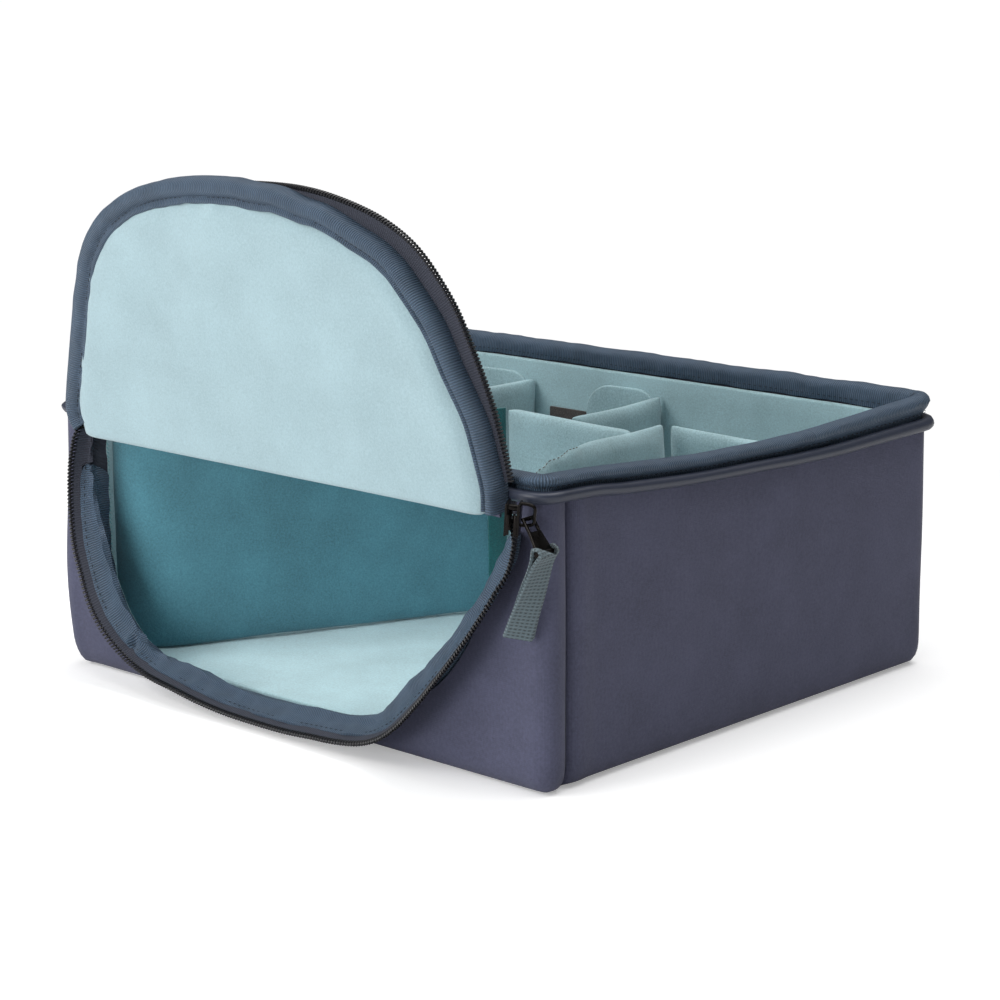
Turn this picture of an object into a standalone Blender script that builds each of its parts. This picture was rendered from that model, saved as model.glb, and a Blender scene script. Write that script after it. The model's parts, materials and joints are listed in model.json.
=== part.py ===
"""Padded camera bag insert: an open tray of foam boards in a soft shell, with lift-out padded dividers
and a zipped door in one end. The door is folded up, as it stands when the insert is in use.

Metres, +Z up. The origin is the middle of the underside. The door is in the -Y end.
"""

import math

import bmesh
import bpy
from mathutils import Euler, Matrix, Vector

# Body, outside sizes
BODY_WIDTH = 0.306
BODY_LENGTH = 0.270
BODY_HEIGHT = 0.130
CORNER_RADIUS = 0.014
BOTTOM_EDGE_RADIUS = 0.009

# Wall layers
SHELL_THICKNESS = 0.0015
BOARD_THICKNESS = 0.0042
LINER_THICKNESS = 0.0020
LINER_EDGE_RADIUS = 0.0009
GAP = 0.0003

# Floor layers
BASE_FOAM_THICKNESS = 0.0048
FLOOR_PAD_THICKNESS = 0.0025

# Rim
PIPING_RADIUS = 0.0026
PIPING_STAND_OFF = 0.0011
PIPING_DROP = 0.0129
BINDING_THICKNESS = 0.0012
RIM_OUTER_SWELL = 0.0006
RIM_ROUNDING = 0.0015
RIM_INNER_LEG = 0.0070
LINER_DROP = 0.0090

# Door outline and its hinge
DOOR_SIDE_MARGIN = 0.014
DOOR_FLOOR_MARGIN = 0.0025
DOOR_ROUNDNESS_SHARE = 2.6
DOOR_TAPER_SHARE = 0.07
HINGE_DROP = 0.0060
HINGE_STAND_OFF = 0.0085
DOOR_LEAN = math.radians(7)
DOOR_THICKNESS = 0.0084
DOOR_SET_BACK = 0.0007
DOOR_HEM = 0.0055
DOOR_LAP = 0.010
HINGE_CLOTH_THICKNESS = 0.0016
HINGE_CLOTH_MARGIN = 0.0004

# Door layers
DOOR_FOAM_THICKNESS = 0.0015
DOOR_LINING_THICKNESS = 0.0021
DOOR_EDGE_INSET = 0.0015
DOOR_BINDING_WIDTH = 0.0104
DOOR_CROWN = 0.0009
DOOR_CROWN_RUN = 0.009

# Zip
TEETH_RADIUS = 0.0014
TAPE_THICKNESS = 0.0008
FRAME_BINDING_WRAP = 0.0042
LIP_OUT = 0.0075
LIP_FORWARD = 0.011
LIP_FORWARD_AT_FLOOR = 0.017
LIP_RISE_AT_FLOOR = 0.00085
LIP_CENTRE_OFFSET = 0.0016
LIP_TOP_DEPTH = 0.0120
FRAME_TEETH_TOP_DEPTH = 0.0010
DOOR_TEETH_STAND_OFF = 0.0025
DOOR_TEETH_TURN = math.radians(-34)
DOOR_TEETH_TURN_AT_TIP = math.radians(128)
DOOR_TEETH_START = 0.0040
DOOR_TAPE_WIDTH = 0.0055
DOOR_TAPE_INSET = 0.0034
DOOR_TAPE_START = 0.0125
END_STOP_LENGTH = 0.0030
END_STOP_RADIUS = 0.0018

# Slider and pull
SLIDER_LENGTH = 0.0130
SLIDER_SIDE = 0.0026
SLIDER_FRONT = 0.0034
SLIDER_PLATE = 0.0010
SLIDER_CHANNEL_CLEARANCE = 0.0005
SLIDER_DEPTH = 0.0045
SLIDER_TRAVEL = 0.0120
BRIDGE_WIRE_RADIUS = 0.0008
BRIDGE_SPAN = 0.0084
BRIDGE_CLEAR_HEIGHT = 0.0046
BRIDGE_RISE = 0.0020
PULL_THICKNESS = 0.0014
PULL_AXIS_HEIGHT = 0.0030
PULL_AXIS_SHIFT = 0.0016
PULL_EYE_LENGTH = 0.0048
PULL_EYE_WIDTH = 0.0048
PULL_RAIL_WIDTH = 0.0011
PULL_LENGTH = 0.0150
PULL_TILT = math.radians(40)
PULL_TWIST = math.radians(-30)
PULL_BAR_LENGTH = 0.0104
PULL_BAR_RADIUS = 0.0011
WEBBING_WIDTH = 0.0125
WEBBING_THICKNESS = 0.0014
WEBBING_LENGTH = 0.0400
WEBBING_TILT = math.radians(-14)
WEBBING_NOTCH_CLEARANCE = 0.0013
WEBBING_NOTCH_DEPTH = 0.0042
RUNNING_CLEARANCE = 0.0004

# Dividers
DIVIDER_THICKNESS = 0.006
DIVIDER_DROP = 0.0158
DIVIDER_EDGE_RADIUS = 0.0022
ACCESS_DIVIDER_DOOR_ROOM = 0.0029
ACCESS_DIVIDER_ANGLE = math.radians(24)
HOOK_STRIP_WIDTH = 0.010
HOOK_STRIP_THICKNESS = 0.0012
CROSS_DIVIDER_Y_SHARE = 0.3394
CROSS_DIVIDER_LEFT_X_SHARE = -0.2833
CROSS_DIVIDER_RIGHT_X_SHARE = 0.3421
ARCHED_DIVIDER_LENGTH = 0.114
ARCHED_DIVIDER_X_SHARE = 0.4423
ARCHED_DIVIDER_NEAR_Y_SHARE = -0.4341
ARCHED_DIVIDER_ANGLE = math.radians(8.5)
ARCH_SPRING_HEIGHT = 0.050
ARCH_ROUNDNESS_SHARE = 2.6
RIGHT_REAR_DIVIDER_Y_SHARE = 0.5051
RIGHT_REAR_DIVIDER_LEFT_X_SHARE = 0.4561
MIDDLE_REAR_DIVIDER_X_SHARE = -0.0207
LEFT_REAR_DIVIDER_X_SHARE = -0.6289
REAR_DIVIDER_CROSS_ROOM = 0.0104
TAB_SIDE_ROOM = 0.0087
TAB_HEIGHT = 0.060
TAB_THICKNESS = 0.0016
TAB_CORNER_RADIUS = 0.016
HOOK_PATCH_WIDTH = 0.026
HOOK_PATCH_HEIGHT = 0.046
HOOK_PATCH_THICKNESS = 0.0010
HOOK_PATCH_X_SHARE = -0.4561
HOOK_PATCH_DROP = 0.0162

# How finely curves are divided
CORNER_STEPS = 6
EDGE_STEPS = 3
DOOR_STEPS = 13
ARCH_STEPS = 10
TAB_STEPS = 5
ROUND_SIDES = 12
ROUND_BEVEL_RESOLUTION = 2
EDGE_RADIUS_LIMIT_SHARE = 0.45
SHARPEST_MITRE_SHARE = 0.5
FLOOR_PAD_EDGE_SHARE = 0.25
BRIDGE_SHOULDER_SHARE = 1.2
MERGE_DISTANCE = 0.000003

# Places that follow from the sizes above
HALF_WIDTH = BODY_WIDTH / 2
HALF_LENGTH = BODY_LENGTH / 2
BOARD_OUTSIDE = SHELL_THICKNESS + GAP
BOARD_INSIDE = BOARD_OUTSIDE + BOARD_THICKNESS
LINER_OUTSIDE = BOARD_INSIDE + GAP
LINER_INSIDE = LINER_OUTSIDE + LINER_THICKNESS
BASE_FOAM_BOTTOM = SHELL_THICKNESS + GAP
FLOOR_PAD_BOTTOM = BASE_FOAM_BOTTOM + BASE_FOAM_THICKNESS + GAP
FLOOR_TOP = FLOOR_PAD_BOTTOM + FLOOR_PAD_THICKNESS
WALL_BOTTOM = BOTTOM_EDGE_RADIUS + GAP
BOARD_TOP = BODY_HEIGHT - BINDING_THICKNESS - GAP
PIPING_HEIGHT = BODY_HEIGHT - PIPING_DROP
WALL_TOP = PIPING_HEIGHT - PIPING_RADIUS - GAP
LINER_TOP = BODY_HEIGHT - LINER_DROP
DOOR_HALF_WIDTH = HALF_WIDTH - DOOR_SIDE_MARGIN
HINGE_HEIGHT = BODY_HEIGHT - HINGE_DROP
DOOR_REACH = HINGE_HEIGHT - DOOR_FLOOR_MARGIN
DOOR_FACE_Y = -HALF_LENGTH
HINGE_Y = DOOR_FACE_Y - HINGE_STAND_OFF
DOOR_HALF_THICKNESS = DOOR_THICKNESS / 2
DOOR_HOLE_TOP = HINGE_HEIGHT - LIP_TOP_DEPTH + GAP
INSIDE_X = HALF_WIDTH - LINER_INSIDE
INSIDE_FAR_Y = HALF_LENGTH - LINER_INSIDE
DIVIDER_BOTTOM = FLOOR_TOP + GAP
DIVIDER_TOP = BODY_HEIGHT - DIVIDER_DROP
CROSS_DIVIDER_Y = INSIDE_FAR_Y * CROSS_DIVIDER_Y_SHARE
CROSS_DIVIDER_LEFT_X = INSIDE_X * CROSS_DIVIDER_LEFT_X_SHARE
CROSS_DIVIDER_RIGHT_X = INSIDE_X * CROSS_DIVIDER_RIGHT_X_SHARE
ACCESS_DIVIDER_END_Y = CROSS_DIVIDER_Y - DIVIDER_THICKNESS
ACCESS_DIVIDER_RUN_Y = ACCESS_DIVIDER_END_Y + INSIDE_FAR_Y - ACCESS_DIVIDER_DOOR_ROOM
ACCESS_DIVIDER_LENGTH = ACCESS_DIVIDER_RUN_Y / math.cos(ACCESS_DIVIDER_ANGLE)
ARCHED_DIVIDER_X = INSIDE_X * ARCHED_DIVIDER_X_SHARE
ARCHED_DIVIDER_NEAR_Y = INSIDE_FAR_Y * ARCHED_DIVIDER_NEAR_Y_SHARE
RIGHT_REAR_DIVIDER_Y = INSIDE_FAR_Y * RIGHT_REAR_DIVIDER_Y_SHARE
RIGHT_REAR_DIVIDER_LEFT_X = INSIDE_X * RIGHT_REAR_DIVIDER_LEFT_X_SHARE
MIDDLE_REAR_DIVIDER_X = INSIDE_X * MIDDLE_REAR_DIVIDER_X_SHARE
LEFT_REAR_DIVIDER_X = INSIDE_X * LEFT_REAR_DIVIDER_X_SHARE
REAR_DIVIDER_NEAR_Y = CROSS_DIVIDER_Y + DIVIDER_THICKNESS / 2 + REAR_DIVIDER_CROSS_ROOM
REAR_DIVIDER_LENGTH = INSIDE_FAR_Y - GAP - REAR_DIVIDER_NEAR_Y
TAB_WIDTH = INSIDE_X + LEFT_REAR_DIVIDER_X - TAB_SIDE_ROOM
HOOK_PATCH_X = INSIDE_X * HOOK_PATCH_X_SHARE
HOOK_PATCH_TOP = DIVIDER_TOP - HOOK_PATCH_DROP


def clear_scene():
    for item in list(bpy.data.objects):
        bpy.data.objects.remove(item, do_unlink=True)


def new_collection(name):
    collection = bpy.data.collections.new(name)
    bpy.context.scene.collection.children.link(collection)
    return collection


def new_material(name, colour, roughness, metallic=0.0):
    material = bpy.data.materials.new(name)
    material.use_nodes = True
    shader = material.node_tree.nodes["Principled BSDF"]
    shader.inputs["Base Color"].default_value = (*colour, 1.0)
    shader.inputs["Roughness"].default_value = roughness
    shader.inputs["Metallic"].default_value = metallic
    return material


def place(item, collection, material, parent=None):
    """Puts an object in its collection with its material, under a parent if it has one."""
    for current in list(item.users_collection):
        current.objects.unlink(item)
    collection.objects.link(item)
    item.data.materials.clear()
    item.data.materials.append(material)
    if parent is not None:
        item.parent = parent
    return item


def shade_smooth(mesh):
    mesh.shade_smooth()
    mesh.set_sharp_from_angle(angle=math.radians(35))


def loft(name, loops, ring=False):
    """A closed solid through loops of points: joined end to end as a ring, or capped at both ends."""
    shape = bmesh.new()
    rows = [[shape.verts.new(point) for point in loop] for loop in loops]
    pairs = list(zip(rows, rows[1:]))
    if ring:
        pairs.append((rows[-1], rows[0]))
    for first, second in pairs:
        for i in range(len(first)):
            j = (i + 1) % len(first)
            shape.faces.new((first[i], first[j], second[j], second[i]))
    if not ring:
        shape.faces.new(rows[0])
        shape.faces.new(rows[-1])
    bmesh.ops.recalc_face_normals(shape, faces=shape.faces)
    mesh = bpy.data.meshes.new(name)
    shape.to_mesh(mesh)
    shape.free()
    if mesh_volume(mesh) < 0:
        mesh.flip_normals()
    shade_smooth(mesh)
    return bpy.data.objects.new(name, mesh)


def mesh_volume(mesh):
    shape = bmesh.new()
    shape.from_mesh(mesh)
    volume = shape.calc_volume(signed=True)
    shape.free()
    return volume


def rounded_box(name, low, high, edge_radius=0.0, segments=2):
    """A box between two corners, with its edges rounded."""
    shape = bmesh.new()
    bmesh.ops.create_cube(shape, size=1.0)
    size = Vector(high) - Vector(low)
    centre = (Vector(high) + Vector(low)) / 2
    bmesh.ops.scale(shape, vec=size, verts=shape.verts)
    bmesh.ops.translate(shape, vec=centre, verts=shape.verts)
    if edge_radius:
        bmesh.ops.bevel(
            shape, geom=shape.edges[:], offset=min(edge_radius, min(size) * EDGE_RADIUS_LIMIT_SHARE), segments=segments,
            affect="EDGES", profile=0.5,
        )
    mesh = bpy.data.meshes.new(name)
    shape.to_mesh(mesh)
    shape.free()
    shade_smooth(mesh)
    return bpy.data.objects.new(name, mesh)


def flat_plate(name, outlines, thickness):
    """A flat plate from closed outlines in its own XY plane, the later ones being holes."""
    curve = bpy.data.curves.new(name, "CURVE")
    curve.dimensions = "2D"
    curve.fill_mode = "BOTH"
    curve.extrude = thickness / 2
    for outline in outlines:
        spline = curve.splines.new("POLY")
        spline.points.add(len(outline) - 1)
        for point, (x, y) in zip(spline.points, outline):
            point.co = (x, y, 0, 1)
        spline.use_cyclic_u = True
    return bpy.data.objects.new(name, curve)


def round_tube(name, points, radius, closed=False):
    curve = bpy.data.curves.new(name, "CURVE")
    curve.dimensions = "3D"
    curve.bevel_depth = radius
    curve.bevel_resolution = ROUND_BEVEL_RESOLUTION
    curve.use_fill_caps = True
    spline = curve.splines.new("POLY")
    spline.points.add(len(points) - 1)
    for control, point in zip(spline.points, points):
        control.co = (*point, 1)
    spline.use_cyclic_u = closed
    return bpy.data.objects.new(name, curve)


def boolean(item, cutter, operation):
    modifier = item.modifiers.new(operation.lower(), "BOOLEAN")
    modifier.operation = operation
    modifier.object = cutter
    modifier.solver = "EXACT"


def keep_as_cutter(item, collection):
    collection.objects.link(item)
    item.hide_render = True
    item.display_type = "WIRE"
    return item


def plan_outline(inset, steps=CORNER_STEPS):
    """The body's rounded rectangle seen from above, moved in from the outside face by inset."""
    half_x = HALF_WIDTH - inset
    half_y = HALF_LENGTH - inset
    radius = max(CORNER_RADIUS - inset, GAP)
    points = []
    for quarter, (side_x, side_y) in enumerate(((1, 1), (-1, 1), (-1, -1), (1, -1))):
        for step in range(steps + 1):
            angle = math.pi / 2 * (quarter + step / steps)
            x = side_x * (half_x - radius) + radius * math.cos(angle)
            y = side_y * (half_y - radius) + radius * math.sin(angle)
            points.append((x, y))
    return points


def plan_loop(inset, height, steps=CORNER_STEPS):
    return [(x, y, height) for x, y in plan_outline(inset, steps)]


def corner_arc(side_x, side_y, inset, steps=CORNER_STEPS):
    """One rounded corner of the plan, from the long side to the end face."""
    radius = max(CORNER_RADIUS - inset, GAP)
    centre_x = HALF_WIDTH - inset - radius
    centre_y = HALF_LENGTH - inset - radius
    points = []
    for step in range(steps + 1):
        angle = math.pi / 2 * step / steps
        x = side_x * (centre_x + radius * math.cos(angle))
        y = side_y * (centre_y + radius * math.sin(angle))
        points.append((x, y))
    return points


def door_station(angle):
    """A point of the door's outline: x, its distance from the hinge line, and the outward normal."""
    power = 2 / DOOR_ROUNDNESS_SHARE

    def point(at):
        at = min(max(at, 0), math.pi)
        depth_share = max(math.sin(at), 0) ** power
        side = math.copysign(abs(math.cos(at)) ** power, math.cos(at))
        return Vector((DOOR_HALF_WIDTH * side * (1 - DOOR_TAPER_SHARE * depth_share),
                       DOOR_REACH * depth_share))

    nudge = math.pi / (DOOR_STEPS * 8)
    along = point(angle + nudge) - point(angle - nudge)
    normal = Vector((along.y, -along.x)).normalized()
    here = point(angle)
    return here.x, here.y, normal.x, normal.y


def door_stations(start_depth=0.0):
    """Points round the door from the right hinge end to the left, starting a set depth below the hinge."""
    start = math.asin((start_depth / DOOR_REACH) ** (DOOR_ROUNDNESS_SHARE / 2))
    steps = DOOR_STEPS * 2
    return [door_station(start + (math.pi - 2 * start) * step / steps) for step in range(steps + 1)]


def ribbon_section(points, thickness):
    """A closed section: a line of 2D points given a thickness, mitred where it bends."""
    left = []
    right = []
    for i, point in enumerate(points):
        before = (point - points[i - 1]).normalized() if i else None
        after = (points[i + 1] - point).normalized() if i + 1 < len(points) else None
        if before is None:
            before = after
        if after is None:
            after = before
        side = Vector((-before.y, before.x)) + Vector((-after.y, after.x))
        side.normalize()
        mitre = max(side.dot(Vector((-after.y, after.x))), SHARPEST_MITRE_SHARE)
        step = side * (thickness / 2 / mitre)
        left.append(point + step)
        right.append(point - step)
    return left + right[::-1]


def lip_direction(normal_down):
    """How the lip leaves the frame, as (outward, forward): flared at the sides, straight out at the floor."""
    hang = max(normal_down, 0) ** 2
    outward = LIP_OUT * (1 - hang) - LIP_RISE_AT_FLOOR * hang
    forward = LIP_FORWARD * (1 - hang) + LIP_FORWARD_AT_FLOOR * hang
    return Vector((outward, forward))


def frame_point(station, offset, forward):
    """A point by the door's frame: offset outward from the door's outline, forward of the end face."""
    x, depth, normal_x, normal_down = station
    height = HINGE_HEIGHT - depth - normal_down * offset
    return Vector((x + normal_x * offset, DOOR_FACE_Y - forward, height))


def frame_lip_points(station):
    """The lip's centre line as (offset, forward) pairs: inner edge, bend, and the line of the teeth."""
    ring_forward = GAP + BINDING_THICKNESS / 2
    inner = Vector((-DOOR_LAP, ring_forward))
    bend = Vector((LIP_CENTRE_OFFSET, ring_forward))
    teeth = bend + lip_direction(station[3])
    return inner, bend, teeth


def build_base(parts, materials):
    turned_up = []
    steps = EDGE_STEPS * 2
    inner_radius = BOTTOM_EDGE_RADIUS - SHELL_THICKNESS
    for step in range(steps + 1):
        angle = math.pi / 2 * step / steps
        inset = BOTTOM_EDGE_RADIUS * (1 - math.sin(angle))
        turned_up.append(plan_loop(inset, BOTTOM_EDGE_RADIUS * (1 - math.cos(angle))))
    for step in range(steps, -1, -1):
        angle = math.pi / 2 * step / steps
        inset = BOTTOM_EDGE_RADIUS - inner_radius * math.sin(angle)
        turned_up.append(plan_loop(inset, BOTTOM_EDGE_RADIUS - inner_radius * math.cos(angle)))
    place(loft("base_shell", turned_up), parts, materials["shell"])

    foam_inset = BOTTOM_EDGE_RADIUS + GAP
    foam_top = BASE_FOAM_BOTTOM + BASE_FOAM_THICKNESS
    foam = [plan_loop(foam_inset, BASE_FOAM_BOTTOM), plan_loop(foam_inset, foam_top)]
    place(loft("base_foam_board", foam), parts, materials["foam"])

    pad_inset = BOARD_INSIDE + GAP
    edge = FLOOR_PAD_THICKNESS * FLOOR_PAD_EDGE_SHARE
    pad = [
        plan_loop(pad_inset, FLOOR_PAD_BOTTOM),
        plan_loop(pad_inset, FLOOR_TOP - edge),
        plan_loop(pad_inset + edge, FLOOR_TOP),
    ]
    place(loft("floor_pad", pad), parts, materials["liner"])


def wall_strip(name, outline_out, outline_in, low, high):
    outline = outline_out + outline_in[::-1]
    return loft(name, [[(x, y, low) for x, y in outline], [(x, y, high) for x, y in outline]])


def build_shell_walls(parts, cutters, materials):
    """The soft outer shell: one wrap for the sides and the far end, and the door end panel."""
    outlines = []
    for inset in (0.0, SHELL_THICKNESS):
        seam_y = -(HALF_LENGTH - CORNER_RADIUS)
        outline = [(HALF_WIDTH - inset, seam_y + GAP)]
        outline += corner_arc(1, 1, inset)
        outline += corner_arc(-1, 1, inset)[::-1]
        outline.append((-(HALF_WIDTH - inset), seam_y + GAP))
        outlines.append(outline)
    place(wall_strip("shell_wrap", *outlines, WALL_BOTTOM, WALL_TOP), parts, materials["shell"])

    outlines = []
    for inset in (0.0, SHELL_THICKNESS):
        outlines.append(corner_arc(1, -1, inset) + corner_arc(-1, -1, inset)[::-1])
    panel = wall_strip("door_end_panel", *outlines, WALL_BOTTOM, WALL_TOP)
    place(panel, parts, materials["shell_end"])
    boolean(panel, door_cutter("door_end_panel_cutter", BODY_HEIGHT, cutters), "DIFFERENCE")


def door_cutter(name, top, cutters):
    """The door hole as a prism through the end wall, its sides running up to the given height."""
    outline = hole_outline(top)
    overrun = BOARD_INSIDE + LINER_THICKNESS
    front = [(x, DOOR_FACE_Y - overrun, z) for x, z in outline]
    back = [(x, DOOR_FACE_Y + overrun + overrun, z) for x, z in outline]
    return keep_as_cutter(loft(name, [front, back]), cutters)


def hole_outline(top):
    stations = door_stations(LIP_TOP_DEPTH)
    outline = []
    for x, depth, normal_x, normal_down in stations:
        height = HINGE_HEIGHT - depth + normal_down * DOOR_LAP
        outline.append((x - normal_x * DOOR_LAP, min(height, HINGE_HEIGHT - LIP_TOP_DEPTH)))
    return [(outline[0][0], top)] + outline + [(outline[-1][0], top)]


def build_boards(parts, cutters, materials):
    """The stiff foam boards inside the shell, and the padded liner walls in front of them."""
    core = loft("board_core", [
        plan_loop(BOARD_OUTSIDE, WALL_BOTTOM - BOTTOM_EDGE_RADIUS),
        plan_loop(BOARD_OUTSIDE, BODY_HEIGHT + BOTTOM_EDGE_RADIUS),
    ])
    keep_as_cutter(core, cutters)
    overrun = BOARD_THICKNESS
    outer_x = HALF_WIDTH - BOARD_OUTSIDE
    inner_x = HALF_WIDTH - BOARD_INSIDE
    inner_y = HALF_LENGTH - BOARD_INSIDE
    outer_y = HALF_LENGTH - BOARD_OUTSIDE
    for name, side in (("right_foam_board", 1), ("left_foam_board", -1)):
        low_x, high_x = sorted((side * inner_x, side * (outer_x + overrun)))
        board = rounded_box(name, (low_x, -outer_y - overrun, WALL_BOTTOM),
                            (high_x, outer_y + overrun, BOARD_TOP))
        place(board, parts, materials["foam"])
        boolean(board, core, "INTERSECT")
    end_x = inner_x - GAP
    far = rounded_box("far_foam_board", (-end_x, inner_y, WALL_BOTTOM), (end_x, outer_y, BOARD_TOP))
    place(far, parts, materials["foam"])
    boolean(far, core, "INTERSECT")
    hole = door_cutter("door_hole_cutter", DOOR_HOLE_TOP, cutters)
    middle = GAP / 2
    for name, side in (("right_door_frame_board", 1), ("left_door_frame_board", -1)):
        low_x, high_x = sorted((side * middle, side * end_x))
        frame = rounded_box(name, (low_x, -outer_y, WALL_BOTTOM), (high_x, -inner_y, BOARD_TOP))
        place(frame, parts, materials["foam"])
        boolean(frame, core, "INTERSECT")
        boolean(frame, hole, "DIFFERENCE")

    liner_low = FLOOR_TOP + GAP
    wall_x = HALF_WIDTH - LINER_OUTSIDE
    wall_y = HALF_LENGTH - LINER_OUTSIDE
    for name, side in (("right_liner_wall", 1), ("left_liner_wall", -1)):
        low_x, high_x = sorted((side * INSIDE_X, side * wall_x))
        liner = rounded_box(name, (low_x, -wall_y, liner_low), (high_x, wall_y, LINER_TOP),
                            LINER_EDGE_RADIUS)
        place(liner, parts, materials["liner"])
    end_x = INSIDE_X - GAP
    liner = rounded_box("far_liner_wall", (-end_x, INSIDE_FAR_Y, liner_low), (end_x, wall_y, LINER_TOP),
                        LINER_EDGE_RADIUS)
    place(liner, parts, materials["liner"])
    liner = rounded_box("door_frame_liner", (-end_x, -wall_y, liner_low), (end_x, -INSIDE_FAR_Y, LINER_TOP))
    place(liner, parts, materials["liner"])
    boolean(liner, hole, "DIFFERENCE")


def build_rim(parts, materials):
    outside = -RIM_OUTER_SWELL
    outer_leg = BOARD_OUTSIDE - GAP
    inner_leg = BOARD_INSIDE + GAP
    inside = inner_leg + BINDING_THICKNESS - GAP
    top = BODY_HEIGHT
    under = BODY_HEIGHT - BINDING_THICKNESS
    outer_low = PIPING_HEIGHT + PIPING_RADIUS + GAP
    inner_low = BODY_HEIGHT - RIM_INNER_LEG
    section = [
        (outside, outer_low), (outside, top - RIM_ROUNDING), (outside + RIM_ROUNDING, top),
        (inside - RIM_ROUNDING, top), (inside, top - RIM_ROUNDING), (inside, inner_low),
        (inner_leg, inner_low), (inner_leg, under), (outer_leg, under), (outer_leg, outer_low),
    ]
    loops = [plan_loop(inset, height) for inset, height in section]
    place(loft("rim_binding", loops, ring=True), parts, materials["binding"])
    path = plan_loop(-PIPING_STAND_OFF, PIPING_HEIGHT)
    place(round_tube("rim_piping", path, PIPING_RADIUS, closed=True), parts, materials["piping"])


def build_door_frame(parts, materials):
    """The cloth hinge, and the flared lip round the door hole: binding, zip tape and teeth."""
    cloth_x = hole_outline(DOOR_HOLE_TOP)[0][0] - HINGE_CLOTH_MARGIN
    cloth_low = DOOR_HOLE_TOP + GAP
    cloth_front = HINGE_Y + DOOR_HALF_THICKNESS + DOOR_CROWN - DOOR_SET_BACK + HINGE_CLOTH_MARGIN
    cloth = rounded_box("hinge_cloth", (-cloth_x, cloth_front, cloth_low),
                        (cloth_x, DOOR_FACE_Y + SHELL_THICKNESS, cloth_low + HINGE_CLOTH_THICKNESS))
    place(cloth, parts, materials["binding"])

    binding = []
    tape = []
    for station in door_stations(LIP_TOP_DEPTH + GAP):
        inner, bend, teeth = frame_lip_points(station)
        along = (teeth - bend).normalized()
        wrapped = bend + along * FRAME_BINDING_WRAP
        section = ribbon_section([inner, bend, wrapped], BINDING_THICKNESS)
        loop = [frame_point(station, *point) for point in section]
        for point in loop:
            point.z = min(point.z, HINGE_HEIGHT - LIP_TOP_DEPTH)
        binding.append(loop)
        tape_start = wrapped + along * GAP
        tape_end = teeth - along * (TEETH_RADIUS + GAP)
        section = ribbon_section([tape_start, tape_end], TAPE_THICKNESS)
        tape.append([frame_point(station, *point) for point in section])
    place(loft("frame_binding", binding), parts, materials["binding"])
    place(loft("frame_zipper_tape", tape), parts, materials["tape"])

    path = []
    for station in door_stations(FRAME_TEETH_TOP_DEPTH):
        path.append(frame_point(station, *frame_lip_points(station)[2]))
    place(round_tube("frame_zipper_teeth", path, TEETH_RADIUS), parts, materials["teeth"])
    beyond = (path[-1] - path[-2]).normalized()
    start = path[-1] + beyond * GAP
    stop = round_tube("zipper_end_stop", [start, start + beyond * END_STOP_LENGTH], END_STOP_RADIUS)
    place(stop, parts, materials["metal"])


def door_local(station, offset, out):
    """A point on the door, in the hinge's own axes, standing up: out is towards the lining side."""
    x, depth, normal_x, normal_down = station
    return Vector((x + normal_x * offset, DOOR_SET_BACK - out, depth + normal_down * offset))


def door_plate_loop(inset, out):
    """The door's whole outline, hem included, moved in by inset, at a level through its thickness."""
    stations = door_stations()
    loop = [door_local(station, -inset, out) for station in stations]
    hem_right = Vector((DOOR_HALF_WIDTH - inset, DOOR_SET_BACK - out, -DOOR_HEM))
    hem_left = Vector((-(DOOR_HALF_WIDTH - inset), DOOR_SET_BACK - out, -DOOR_HEM))
    loop[0].z = max(loop[0].z, 0)
    loop[-1].z = max(loop[-1].z, 0)
    return [hem_right] + loop + [hem_left]


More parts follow.
